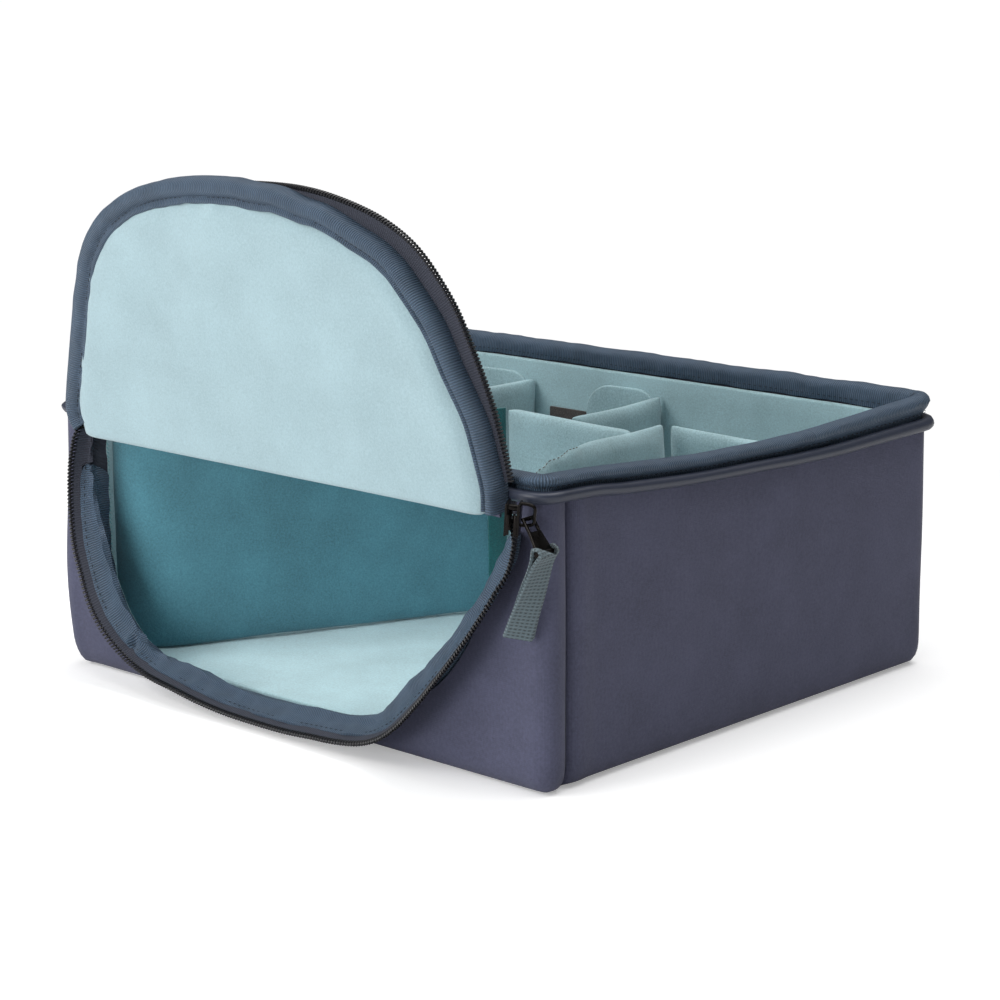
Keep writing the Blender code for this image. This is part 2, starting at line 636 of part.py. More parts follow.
def build_door(parts, materials):
    """The padded door, built upright on its hinge line and leaning with the hinge's empty."""
    hinge = bpy.data.objects.new("door_hinge_axis", None)
    hinge.location = (0, HINGE_Y, HINGE_HEIGHT)
    hinge.rotation_euler = (DOOR_LEAN, 0, 0)
    parts.objects.link(hinge)

    face = DOOR_HALF_THICKNESS
    leg_inside = face - BINDING_THICKNESS
    lining_top = leg_inside - GAP
    lining_low = lining_top - DOOR_LINING_THICKNESS
    window = DOOR_BINDING_WIDTH + GAP
    edge = DOOR_EDGE_INSET
    lining = [
        door_plate_loop(edge, lining_low), door_plate_loop(edge, lining_top),
        door_plate_loop(window, lining_top), door_plate_loop(window + DOOR_CROWN, face),
        door_plate_loop(window + DOOR_CROWN_RUN, face + DOOR_CROWN),
    ]
    place(loft("door_lining", lining), parts, materials["door_lining"], hinge)
    foam_top = lining_low - GAP
    foam_low = foam_top - DOOR_FOAM_THICKNESS
    foam = [door_plate_loop(edge, foam_low), door_plate_loop(edge, foam_top)]
    place(loft("door_foam", foam), parts, materials["foam"], hinge)
    outer_top = foam_low - GAP
    outer = [
        door_plate_loop(edge, outer_top), door_plate_loop(edge, -lining_top),
        door_plate_loop(window, -lining_top), door_plate_loop(window + DOOR_CROWN, -face),
    ]
    place(loft("door_outer_panel", outer), parts, materials["shell"], hinge)

    binding = []
    width = DOOR_BINDING_WIDTH
    clear = edge - GAP
    section = [(-width, face), (0.0, face), (0.0, -face), (-width, -face), (-width, -leg_inside),
               (-clear, -leg_inside), (-clear, leg_inside), (-width, leg_inside)]
    for station in door_stations():
        binding.append([door_local(station, *point) for point in section])
    place(loft("door_binding", binding), parts, materials["binding"], hinge)

    tape = []
    tape_out = -(face + GAP + TAPE_THICKNESS / 2)
    for station in door_stations(DOOR_TAPE_START):
        tape_edge = Vector((-DOOR_TAPE_INSET, tape_out))
        section = ribbon_section([tape_edge - Vector((DOOR_TAPE_WIDTH, 0)), tape_edge], TAPE_THICKNESS)
        tape.append([door_local(station, *point) for point in section])
    place(loft("door_zipper_tape", tape), parts, materials["tape"], hinge)

    path = []
    for station in door_stations(DOOR_TEETH_START):
        hang = max(station[3], 0) ** 2
        turn = DOOR_TEETH_TURN * (1 - hang) + DOOR_TEETH_TURN_AT_TIP * hang
        offset = DOOR_TEETH_STAND_OFF * math.cos(turn)
        back = face + DOOR_TEETH_STAND_OFF * math.sin(turn)
        path.append(door_local(station, offset, -back))
    place(round_tube("door_zipper_teeth", path, TEETH_RADIUS), parts, materials["teeth"], hinge)


def slider_frame():
    """The slider's own axes on the right-hand teeth: x across the teeth, y out of the bag, z up the track."""
    station = near_station(SLIDER_DEPTH)
    lower = near_station(SLIDER_DEPTH + SLIDER_TRAVEL)
    centre = frame_point(station, *frame_lip_points(station)[2])
    up = (centre - frame_point(lower, *frame_lip_points(lower)[2])).normalized()
    lip = lip_direction(station[3]).normalized()
    across = Vector((lip.x, -lip.y, 0))
    across = (across - up * across.dot(up)).normalized()
    outward = up.cross(across)
    turn = Matrix((across, outward, up)).transposed()
    return centre, turn


def near_station(depth):
    angle = math.asin((depth / DOOR_REACH) ** (DOOR_ROUNDNESS_SHARE / 2))
    return door_station(angle)


def build_slider(parts, cutters, materials):
    """The slider on the frame's teeth, its bridge, the metal pull and the webbing loop on it."""
    centre, turn = slider_frame()
    slider = bpy.data.objects.new("slider_axis", None)
    slider.location = centre
    slider.rotation_euler = turn.to_euler()
    parts.objects.link(slider)

    channel = TEETH_RADIUS + SLIDER_CHANNEL_CLEARANCE
    half = channel + SLIDER_PLATE
    block = rounded_box("slider_body", (-SLIDER_SIDE, -half, -SLIDER_LENGTH / 2),
                        (SLIDER_FRONT, half, SLIDER_LENGTH / 2), SLIDER_PLATE / 2)
    place(block, parts, materials["metal"], slider)
    bore = bmesh.new()
    bmesh.ops.create_cone(bore, cap_ends=True, segments=ROUND_SIDES, radius1=channel, radius2=channel,
                          depth=SLIDER_LENGTH * 2)
    mesh = bpy.data.meshes.new("slider_bore_cutter")
    bore.to_mesh(mesh)
    bore.free()
    bore_cutter = keep_as_cutter(bpy.data.objects.new("slider_bore_cutter", mesh), cutters)
    bore_cutter.parent = slider
    slot_half = TAPE_THICKNESS / 2 + SLIDER_CHANNEL_CLEARANCE
    slot_cutter = rounded_box("slider_slot_cutter", (-SLIDER_SIDE * 2, -slot_half, -SLIDER_LENGTH),
                              (0, slot_half, SLIDER_LENGTH))
    keep_as_cutter(slot_cutter, cutters)
    slot_cutter.parent = slider
    boolean(block, bore_cutter, "DIFFERENCE")
    boolean(block, slot_cutter, "DIFFERENCE")

    wire = BRIDGE_WIRE_RADIUS
    leg = BRIDGE_SPAN / 2
    foot = half + GAP
    crown = half + BRIDGE_CLEAR_HEIGHT + wire
    shoulder = wire * BRIDGE_SHOULDER_SHARE
    top, low = BRIDGE_RISE + leg, BRIDGE_RISE - leg
    path = [(0, foot, top), (0, crown - shoulder, top), (0, crown, top - shoulder),
            (0, crown, low + shoulder), (0, crown - shoulder, low), (0, foot, low)]
    place(round_tube("slider_bridge", path, wire), parts, materials["metal"], slider)

    pull_axis = bpy.data.objects.new("pull_axis", None)
    pull_axis.parent = slider
    pull_axis.location = (0, half + PULL_AXIS_HEIGHT, BRIDGE_RISE - PULL_AXIS_SHIFT)
    pull_axis.rotation_euler = (PULL_TILT, 0, PULL_TWIST)
    parts.objects.link(pull_axis)
    build_pull(parts, cutters, materials, pull_axis)


def build_pull(parts, cutters, materials, pull_axis):
    eye_top = PULL_THICKNESS / 2
    eye_low = eye_top + PULL_EYE_LENGTH
    half_eye = PULL_EYE_WIDTH / 2
    half_head = half_eye + PULL_RAIL_WIDTH
    half_foot = PULL_BAR_LENGTH / 2
    foot = PULL_LENGTH
    outline = [
        (-half_head, eye_top), (half_head, eye_top), (half_head, -eye_low),
        (half_foot - PULL_RAIL_WIDTH, -foot), (-half_foot + PULL_RAIL_WIDTH, -foot), (-half_head, -eye_low),
    ]
    eye = [(-half_eye, -eye_top), (half_eye, -eye_top), (half_eye, -eye_low), (-half_eye, -eye_low)]
    plate = flat_plate("pull_tab_plate", [outline, eye], PULL_THICKNESS)
    parts.objects.link(plate)
    bpy.context.view_layer.update()
    pull = as_mesh(plate, "pull_tab")
    place(pull, parts, materials["metal"], pull_axis)
    pull.rotation_euler = (math.pi / 2, 0, 0)
    bar = bmesh.new()
    bmesh.ops.create_cone(bar, cap_ends=True, segments=ROUND_SIDES, radius1=PULL_BAR_RADIUS,
                          radius2=PULL_BAR_RADIUS, depth=PULL_BAR_LENGTH,
                          matrix=Matrix.Rotation(math.pi / 2, 4, "Y"))
    bmesh.ops.translate(bar, vec=(0, -foot, 0), verts=bar.verts)
    mesh = bpy.data.meshes.new("pull_bar_joiner")
    bar.to_mesh(mesh)
    bar.free()
    joiner = keep_as_cutter(bpy.data.objects.new("pull_bar_joiner", mesh), cutters)
    joiner.parent = pull_axis
    joiner.rotation_euler = pull.rotation_euler
    boolean(pull, joiner, "UNION")

    swing = bpy.data.objects.new("webbing_axis", None)
    swing.parent = pull_axis
    swing.location = (0, 0, -foot)
    swing.rotation_euler = (WEBBING_TILT - PULL_TILT, 0, 0)
    parts.objects.link(swing)
    inner = PULL_BAR_RADIUS + RUNNING_CLEARANCE
    outer = inner + WEBBING_THICKNESS
    section = []
    for step in range(ROUND_SIDES // 2 + 1):
        angle = math.pi * step / (ROUND_SIDES // 2)
        section.append((outer * math.cos(angle), outer * math.sin(angle)))
    pinch = inner + WEBBING_THICKNESS * 2
    flat = WEBBING_THICKNESS + GAP
    section += [(-flat, -pinch), (-flat, -WEBBING_LENGTH), (flat, -WEBBING_LENGTH), (flat, -pinch)]
    eye = []
    for step in range(ROUND_SIDES):
        angle = 2 * math.pi * step / ROUND_SIDES
        eye.append((inner * math.cos(angle), inner * math.sin(angle)))
    loop = flat_plate("pull_webbing_plate", [section, eye], WEBBING_WIDTH)
    parts.objects.link(loop)
    bpy.context.view_layer.update()
    webbing = as_mesh(loop, "pull_webbing")
    place(webbing, parts, materials["webbing"], swing)
    webbing.rotation_euler = (math.pi / 2, 0, math.pi / 2)
    notch_half = half_head + WEBBING_NOTCH_CLEARANCE
    notch = rounded_box("webbing_notch_cutter", (-notch_half, -outer * 2, -WEBBING_NOTCH_DEPTH + outer),
                        (notch_half, outer * 2, outer * 2))
    keep_as_cutter(notch, cutters)
    notch.parent = swing
    boolean(webbing, notch, "DIFFERENCE")


def as_mesh(item, name):
    """The object's evaluated shape as a mesh object with its caps welded, replacing the object."""
    graph = bpy.context.evaluated_depsgraph_get()
    mesh = bpy.data.meshes.new_from_object(item.evaluated_get(graph))
    shape = bmesh.new()
    shape.from_mesh(mesh)
    bmesh.ops.remove_doubles(shape, verts=shape.verts, dist=MERGE_DISTANCE)
    bmesh.ops.recalc_face_normals(shape, faces=shape.faces)
    shape.to_mesh(mesh)
    shape.free()
    if mesh_volume(mesh) < 0:
        mesh.flip_normals()
    made = bpy.data.objects.new(name, mesh)
    made.matrix_world = item.matrix_world
    bpy.data.objects.remove(item, do_unlink=True)
    return made


def upright_divider(name, length, material, parts, location, angle=0.0):
    """A padded board standing on the floor, running along its own +X from its location."""
    half = DIVIDER_THICKNESS / 2
    board = rounded_box(name, (0, -half, DIVIDER_BOTTOM), (length, half, DIVIDER_TOP), DIVIDER_EDGE_RADIUS)
    place(board, parts, material)
    board.location = (*location, 0)
    board.rotation_euler = (0, 0, angle)
    return board


def build_dividers(parts, materials):
    run = math.pi / 2 - ACCESS_DIVIDER_ANGLE
    along = Vector((math.cos(run), math.sin(run)))
    end = Vector((CROSS_DIVIDER_LEFT_X - DIVIDER_THICKNESS, CROSS_DIVIDER_Y - DIVIDER_THICKNESS))
    start = end - along * ACCESS_DIVIDER_LENGTH
    upright_divider("access_divider", ACCESS_DIVIDER_LENGTH, materials["access"], parts,
                    start, run)
    half = DIVIDER_THICKNESS / 2
    strip = rounded_box("access_divider_hook_strip",
                        (0, -half - GAP - HOOK_STRIP_THICKNESS, DIVIDER_BOTTOM),
                        (HOOK_STRIP_WIDTH, -half - GAP, DIVIDER_TOP))
    place(strip, parts, materials["strip"])
    strip.location = (*(end - along * (HOOK_STRIP_WIDTH + DIVIDER_EDGE_RADIUS)), 0)
    strip.rotation_euler = (0, 0, run)

    upright_divider("cross_divider", CROSS_DIVIDER_RIGHT_X - CROSS_DIVIDER_LEFT_X,
                    materials["divider"], parts, (CROSS_DIVIDER_LEFT_X, CROSS_DIVIDER_Y))
    build_arched_divider(parts, materials)
    right_end = INSIDE_X - GAP
    upright_divider("right_rear_divider", right_end - RIGHT_REAR_DIVIDER_LEFT_X,
                    materials["divider"], parts, (RIGHT_REAR_DIVIDER_LEFT_X, RIGHT_REAR_DIVIDER_Y))
    rear_places = (("middle_rear_divider", MIDDLE_REAR_DIVIDER_X), ("left_rear_divider", LEFT_REAR_DIVIDER_X))
    for name, x in rear_places:
        far_y = INSIDE_FAR_Y - GAP
        upright_divider(name, REAR_DIVIDER_LENGTH, materials["divider"], parts,
                        (x, far_y - REAR_DIVIDER_LENGTH), math.pi / 2)
        build_tab(name + "_tab", x - half - GAP, far_y, parts, materials)


def build_arched_divider(parts, materials):
    """A divider whose top runs down in a round to its near end."""
    outline = []
    rise = DIVIDER_TOP - ARCH_SPRING_HEIGHT
    power = 2 / ARCH_ROUNDNESS_SHARE
    for step in range(ARCH_STEPS + 1):
        angle = math.pi / 2 * step / ARCH_STEPS
        across = ARCHED_DIVIDER_LENGTH * (1 - math.cos(angle) ** power)
        outline.append((across, ARCH_SPRING_HEIGHT + rise * math.sin(angle) ** power))
    outline += [(ARCHED_DIVIDER_LENGTH, DIVIDER_BOTTOM), (0, DIVIDER_BOTTOM)]
    board = flat_plate("arched_divider", [outline], DIVIDER_THICKNESS)
    place(board, parts, materials["divider"])
    lean = ARCHED_DIVIDER_ANGLE
    board.rotation_euler = Euler((math.pi / 2, 0, math.pi / 2 + lean))
    board.location = (ARCHED_DIVIDER_X + ARCHED_DIVIDER_LENGTH / 2 * math.sin(lean), ARCHED_DIVIDER_NEAR_Y, 0)


def build_tab(name, right_x, far_y, parts, materials):
    """A hook-backed end tab lying on the far wall, with rounded top corners."""
    left_x = right_x - TAB_WIDTH
    low = DIVIDER_TOP - TAB_HEIGHT
    outline = [(left_x, low), (right_x, low)]
    for step in range(TAB_STEPS + 1):
        angle = math.pi / 2 * step / TAB_STEPS
        outline.append((right_x - TAB_CORNER_RADIUS * (1 - math.cos(angle)),
                        DIVIDER_TOP - TAB_CORNER_RADIUS * (1 - math.sin(angle))))
    for step in range(TAB_STEPS + 1):
        angle = math.pi / 2 * (1 - step / TAB_STEPS)
        outline.append((left_x + TAB_CORNER_RADIUS * (1 - math.cos(angle)),
                        DIVIDER_TOP - TAB_CORNER_RADIUS * (1 - math.sin(angle))))
    tab = flat_plate(name, [outline], TAB_THICKNESS)
    place(tab, parts, materials["divider"])
    tab.rotation_euler = (math.pi / 2, 0, 0)
    tab.location = (0, far_y - TAB_THICKNESS / 2, 0)


def build_hook_patch(parts, materials):
    far_y = INSIDE_FAR_Y - GAP
    half = HOOK_PATCH_WIDTH / 2
    low = HOOK_PATCH_TOP - HOOK_PATCH_HEIGHT
    patch = rounded_box("far_wall_hook_patch", (HOOK_PATCH_X - half, far_y - HOOK_PATCH_THICKNESS, low),
                        (HOOK_PATCH_X + half, far_y, HOOK_PATCH_TOP))
    place(patch, parts, materials["hook"])


def main():
    clear_scene()
    parts = new_collection("camera_bag_insert")
    cutters = new_collection("cutters")
    materials = {
        "shell": new_material("navy_soft_shell", (0.052, 0.050, 0.078), 0.85),
        "shell_end": new_material("navy_soft_shell_end", (0.085, 0.082, 0.130), 0.85),
        "foam": new_material("grey_foam", (0.20, 0.21, 0.22), 0.95),
        "liner": new_material("pale_teal_brushed_liner", (0.40, 0.60, 0.63), 0.95),
        "door_lining": new_material("pale_teal_door_lining", (0.42, 0.61, 0.64), 0.95),
        "divider": new_material("teal_grey_divider", (0.32, 0.48, 0.50), 0.95),
        "access": new_material("dark_teal_divider", (0.060, 0.200, 0.235), 0.95),
        "strip": new_material("teal_hook_strip", (0.020, 0.190, 0.195), 0.90),
        "binding": new_material("blue_grey_grosgrain", (0.085, 0.125, 0.175), 0.70),
        "tape": new_material("dark_zipper_tape", (0.045, 0.045, 0.062), 0.80),
        "teeth": new_material("black_coil", (0.010, 0.010, 0.012), 0.45),
        "piping": new_material("navy_piping", (0.060, 0.060, 0.085), 0.35),
        "metal": new_material("black_nickel", (0.045, 0.040, 0.036), 0.30, 1.0),
        "webbing": new_material("grey_webbing", (0.16, 0.20, 0.22), 0.85),
        "hook": new_material("brown_hook_patch", (0.060, 0.045, 0.042), 0.95),
    }
    build_base(parts, materials)
    build_shell_walls(parts, cutters, materials)
    build_boards(parts, cutters, materials)
    build_rim(parts, materials)
    build_door_frame(parts, materials)
    build_door(parts, materials)
    build_slider(parts, cutters, materials)
    build_dividers(parts, materials)
    build_hook_patch(parts, materials)


main()
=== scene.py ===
"""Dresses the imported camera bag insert: cloth shell, padding, binding, zip, dividers and a small studio."""

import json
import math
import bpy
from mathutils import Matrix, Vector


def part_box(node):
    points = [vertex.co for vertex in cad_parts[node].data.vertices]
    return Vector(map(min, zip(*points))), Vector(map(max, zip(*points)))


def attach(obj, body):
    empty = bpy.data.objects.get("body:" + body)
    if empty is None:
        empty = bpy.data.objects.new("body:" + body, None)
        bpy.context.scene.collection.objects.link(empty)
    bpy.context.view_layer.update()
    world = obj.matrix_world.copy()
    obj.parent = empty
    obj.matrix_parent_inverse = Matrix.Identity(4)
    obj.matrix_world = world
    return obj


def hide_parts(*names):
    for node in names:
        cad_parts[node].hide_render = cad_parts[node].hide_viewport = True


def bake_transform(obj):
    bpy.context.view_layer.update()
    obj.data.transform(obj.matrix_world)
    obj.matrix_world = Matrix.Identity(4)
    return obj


bl_info = {
    "name": "Camera bag insert",
    "version": (1, 0, 0),
    "blender": (4, 5, 0),
    "location": "View3D > Sidebar > Insert",
    "description": "Builds the cloth, padding, binding, zip and studio of a padded camera bag insert",
    "category": "Object",
}

import bmesh
import bpy
from bpy.props import FloatProperty, FloatVectorProperty, PointerProperty
from mathutils import Matrix, Vector, noise
from mathutils.bvhtree import BVHTree

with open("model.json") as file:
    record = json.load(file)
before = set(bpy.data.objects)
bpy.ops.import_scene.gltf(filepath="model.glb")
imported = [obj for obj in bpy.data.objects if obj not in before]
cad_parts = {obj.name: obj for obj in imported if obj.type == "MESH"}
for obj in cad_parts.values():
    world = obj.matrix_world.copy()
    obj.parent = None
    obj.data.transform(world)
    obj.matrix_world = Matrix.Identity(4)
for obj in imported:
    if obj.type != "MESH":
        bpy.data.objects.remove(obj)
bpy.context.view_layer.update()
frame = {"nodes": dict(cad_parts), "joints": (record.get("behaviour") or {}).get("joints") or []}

MM = 0.001


def joint_of(name):
    return next(joint for joint in frame["joints"] if joint["name"] == name)


# Places read from the frame
BODY_HALF_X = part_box("base_shell")[1].x
BODY_HALF_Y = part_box("base_shell")[1].y
RIM_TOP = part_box("rim_binding")[1].z
PIPING_LEVEL = (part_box("rim_piping")[0].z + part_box("rim_piping")[1].z) / 2
FLOOR_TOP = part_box("floor_pad")[1].z
DIVIDER_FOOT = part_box("cross_divider")[0].z
DIVIDER_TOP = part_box("cross_divider")[1].z
DIVIDER_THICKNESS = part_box("cross_divider")[1].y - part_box("cross_divider")[0].y
INSIDE_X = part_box("right_liner_wall")[0].x
INSIDE_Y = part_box("far_liner_wall")[0].y
LINER_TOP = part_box("far_liner_wall")[1].z
DOOR_FACE_Y = -BODY_HALF_Y
DOOR_HALF_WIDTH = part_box("door_binding")[1].x
HINGE = Vector(joint_of("door_hinge")["pos_m"])

# Outline of the body and of the door, as in the frame
CORNER_RADIUS = 7.5 * MM
SEAM_SET_BACK = 14 * MM
DOOR_REACH = 121.5 * MM
DOOR_ROUNDNESS_SHARE = 2.6
DOOR_TAPER_SHARE = 0.07
DOOR_LEAN = math.radians(7)
DOOR_SET_BACK = 0.7 * MM
DOOR_HEM = 9.5 * MM
WELT_Y = DOOR_FACE_Y - 7.0 * MM
WELT_LEVEL = 121.0 * MM
LIP_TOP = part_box("frame_binding")[1].z
LINE_STEP = 1 * MM

# The raised door's edge in millimetres, from the right hinge end round to the left: across, and away from
# the hinge
DOOR_EDGE = (
    (141.5, -6), (142.5, 4), (141.5, 14), (138, 32), (133, 48), (126.8, 64), (122.1, 74.5), (117.5, 82),
    (111.9, 89.4), (106.2, 96), (99.3, 102), (90, 107.6), (78, 112.6), (61.4, 117), (44, 119.9), (25, 121),
    (0, 120.8), (-24.7, 119.7), (-42, 118), (-54.6, 115.6), (-66.2, 112.2), (-78.4, 107), (-91.1, 99.8),
    (-101.8, 89.9), (-109.2, 79.2), (-116.7, 61.8), (-121.6, 47.3), (-125.8, 36), (-129.3, 25.6), (-133.3, 13.5),
    (-134.7, 5.2), (-133.4, -1.5), (-131, -5),
)
# The width of the door's binding in millimetres, by the share of that edge: on the lining side and behind
DOOR_BINDING = ((0.0, 7.2, 9.0), (0.2, 7.4, 9.5), (0.35, 8.2, 10.0), (0.5, 10.0, 10.2), (0.68, 10.8, 10.5),
                (0.78, 12.4, 11.0), (0.9, 12.8, 11.0), (1.0, 11.5, 11.0))
# How far the zip tape stands out past that binding in millimetres, by the share of the edge
DOOR_TAPE = ((0.0, 4.5), (0.08, 5.5), (0.16, 9.2), (0.24, 10.6), (0.32, 9.2), (0.4, 5.6), (0.47, 2.0), (0.52, 0.0),
             (1.0, 0.0))
# How far the rim's top and its piping stand over their level in millimetres, by the distance to the far end
RIM_LEVELS = ((-139.0, -2.0, 3.9), (-110.0, -2.2, 3.4), (-85.0, -2.2, 2.0), (-40.0, -2.0, 1.9), (0.0, -1.6, 1.8),
              (30.0, -0.7, 1.4), (70.0, 0.0, 0.4), (120.0, 0.4, 0.0), (139.0, 2.0, 0.0))
# The lip round the door's hole in millimetres, by the share of the frame's line: outward, and forward of the
# end face. HOLE_EDGE is the edge of the hole itself, outward only
LIP_COIL = (
    (0.0, 9.1, 11.9), (0.02, 9.1, 11.9), (0.036, 10.2, 11.6), (0.065, 8.4, 11.7), (0.0875, 4.7, 13.0),
    (0.126, 0.6, 15.5), (0.171, -2.6, 18.0), (0.213, -4.1, 18.5), (0.257, -3.1, 18.5), (0.295, -0.8, 18.0),
    (0.3235, 0.7, 17.5), (0.351, 0.9, 17.0), (0.38, -0.1, 17.0), (0.425, -1.6, 17.0), (0.47, -1.6, 17.0),
    (0.533, -1.6, 17.0), (0.598, -1.1, 17.0), (0.648, 0.9, 16.5), (0.70, 7.2, 14.5), (0.745, 12.7, 12.5),
    (0.7745, 14.6, 12.0), (0.802, 14.6, 11.5), (0.8335, 12.0, 11.0), (0.858, 10.1, 11.0), (0.887, 6.5, 11.0),
    (0.918, 2.7, 11.0), (0.951, -1.6, 11.0), (0.976, -5.0, 10.0), (0.9915, -8.6, 9.0), (1.0, -10.0, 8.5),
)
HOLE_EDGE = (
    (0.0, 2.0), (0.03, 0.0), (0.05, -4.0), (0.075, -8.0), (0.1, -10.8), (0.3, -10.8), (0.34, -9.0), (0.38, -6.0),
    (0.42, -5.0), (0.512, -4.6), (0.562, -3.6), (0.615, -1.5), (0.644, 0.5), (0.68, 4.0), (0.7, 7.5),
    (0.723, 11.5), (0.755, 14.5), (0.78, 14.8), (0.81, 13.2), (0.84, 10.0), (0.87, 5.0), (0.9, 0.0), (0.93, -3.0), (1.0, -5.6),
)
LIP_CREST = (
    (0.0, -1.0, 4.0), (0.02, 1.0, 4.0), (0.036, 2.5, 4.0), (0.058, 0.2, 4.0), (0.08, -3.3, 4.0),
    (0.1145, -9.0, 4.5), (0.148, -13.6, 5.0), (0.202, -16.8, 5.0), (0.2745, -16.4, 5.0), (0.328, -10.6, 4.5),
    (0.351, -7.4, 4.0), (0.395, -8.6, 3.5), (0.4436, -9.3, 3.0), (0.491, -8.2, 3.0), (0.539, -7.3, 3.0),
    (0.5886, -7.3, 3.0), (0.63, -7.0, 3.0), (0.663, -4.6, 3.5), (0.694, -0.6, 4.0), (0.7088, 1.4, 5.0),
    (0.741, 1.5, 5.0), (0.775, -0.1, 5.0), (0.808, -2.9, 5.0), (0.8416, -5.2, 5.0), (0.8726, -6.6, 5.0),
    (0.9016, -7.0, 5.0), (0.9275, -7.4, 5.0), (0.96, -9.0, 4.0), (1.0, -11.0, 3.0),
)


def linear(hex_colour):
    """An sRGB hex colour as linear red, green and blue."""
    parts = [int(hex_colour[i:i + 2], 16) / 255 for i in (1, 3, 5)]
    return tuple(part / 12.92 if part <= 0.04045 else ((part + 0.055) / 1.055) ** 2.4 for part in parts)


def colour_property(name, hex_colour, description):
    return FloatVectorProperty(name=name, description=description, subtype="COLOR", size=3, min=0, max=1,
                               default=linear(hex_colour))


def length_property(name, millimetres, description):
    return FloatProperty(name=name, description=description, subtype="DISTANCE", unit="LENGTH",
                         default=millimetres * MM, min=0)


class InsertColours(bpy.types.PropertyGroup):
    """Colours of the cloths, tapes and metal"""

    shell: colour_property("Shell", "#484a60", "Laminated cloth of the outside")
    lining: colour_property("Lining", "#a3c2c8", "Brushed lining of the walls and floor")
    # The door's lining is the walls' tricot with a darker colour of its own, set to offset the key light falling
    # on the raised door: painted shade.
    door_lining: colour_property("Door lining", "#99b2b9", "Brushed lining of the door")
    divider: colour_property("Dividers", "#98b6bc", "Brushed cloth of the dividers")
    access: colour_property("Access divider", "#4f8796", "Felt of the slanting divider")
    hook_strip: colour_property("Hook strip", "#1c6164", "Hook tape on the slanting divider")
    hook_patch: colour_property("Hook patch", "#3b3431", "Dark patch on the far wall")
    binding: colour_property("Binding", "#3f5164", "Grosgrain on the rim, the door and its frame")
    tape: colour_property("Zip tape", "#2a2d38", "Woven tape of the zip")
    coil: colour_property("Coil", "#17171b", "Nylon coil of the zip")
    piping: colour_property("Piping", "#2c3242", "Coated piping under the rim")
    metal: colour_property("Metal", "#232120", "Black nickel of the slider and pull")
    webbing: colour_property("Webbing", "#434f54", "Heather webbing on the pull")
    thread: colour_property("Thread", "#20262f", "Sewing thread in the binding")
    pale_thread: colour_property("Pale thread", "#6fb0b6", "Overlock thread of the felt")
    brown_thread: colour_property("Brown thread", "#5c4d43", "Thread along the arched divider")
    foam: colour_property("Foam", "#8d9092", "Foam boards inside the walls")


class InsertSizes(bpy.types.PropertyGroup):
    """Sizes that set the character of the cloth"""

    rib_pitch: length_property("Grosgrain rib", 1.15, "Distance from rib to rib on the binding")
    coil_pitch: length_property("Coil pitch", 1.7, "Distance from turn to turn of the zip coil")
    stitch_pitch: length_property("Stitch", 3.2, "Distance from stitch to stitch")
    nap: length_property("Nap", 0.9, "Size of the specks in the brushed lining")
    weave: length_property("Weave", 0.85, "Thread spacing of the shell, drawn coarse enough to show")
    rim_rise: length_property("Rim rise", 6.0, "How far the door pulls its end of the rim up")
    rim_sag: length_property("Rim sag", 3.0, "How far the long sides of the rim sag")
    puff: length_property("Puff", 1.3, "How far padding may swell out of its board")


def colours():
    return bpy.context.scene.insert_colours


def sizes():
    return bpy.context.scene.insert_sizes


# Materials

def add_node(tree, kind, settings=None, inputs=None, output=0):
    """Adds a node with its settings, gives its inputs values or links, and hands back one of its outputs."""
    node = tree.nodes.new(kind)
    for name, value in (settings or {}).items():
        setattr(node, name, value)
    for key, value in (inputs or {}).items():
        if isinstance(value, bpy.types.NodeSocket):
            tree.links.new(value, node.inputs[key])
        else:
            node.inputs[key].default_value = value
    return node.outputs[output] if len(node.outputs) else None


def new_material(name, roughness, metallic=0.0, sheen=0.0, specular=0.5):
    """A Principled material with its constants on the shader's own sockets."""
    material = bpy.data.materials.new(name)
    material.use_nodes = True
    shader = material.node_tree.nodes["Principled BSDF"]
    constants = {"Roughness": roughness, "Metallic": metallic, "Sheen Weight": sheen, "Sheen Roughness": 0.6,
                 "Specular IOR Level": specular}
    for socket, value in constants.items():
        shader.inputs[socket].default_value = value
    return material, material.node_tree, shader


def weighed(tree, *parts):
    """The sum of a few patterns, each times its weight."""
    total = None
    for pattern, weight in parts:
        scaled = add_node(tree, "ShaderNodeMath", {"operation": "MULTIPLY"}, {0: pattern, 1: weight})
        total = scaled if total is None else add_node(tree, "ShaderNodeMath", {"operation": "ADD"},
                                                      {0: total, 1: scaled})
    return total


def dress(made, colour, shade, darkest, lightest, height, depth, strength=1.0):
    """Shades a new material's colour between two factors, and raises its surface by a height."""
    material, tree, shader = made
    dark, light = ((*[min(part * factor, 1.0) for part in colour], 1.0) for factor in (darkest, lightest))
    shaded = add_node(tree, "ShaderNodeMix", {"data_type": "RGBA", "clamp_factor": True},
                      {0: shade, 6: dark, 7: light}, 2)
    tree.links.new(shaded, shader.inputs["Base Color"])
    raised = add_node(tree, "ShaderNodeBump", None, {"Height": height, "Distance": depth, "Strength": strength})
    tree.links.new(raised, shader.inputs["Normal"])
    return material


def band_scale(pitch):
    """The wave texture's scale that gives one band in every pitch."""
    return 2 * math.pi / (20 * pitch)


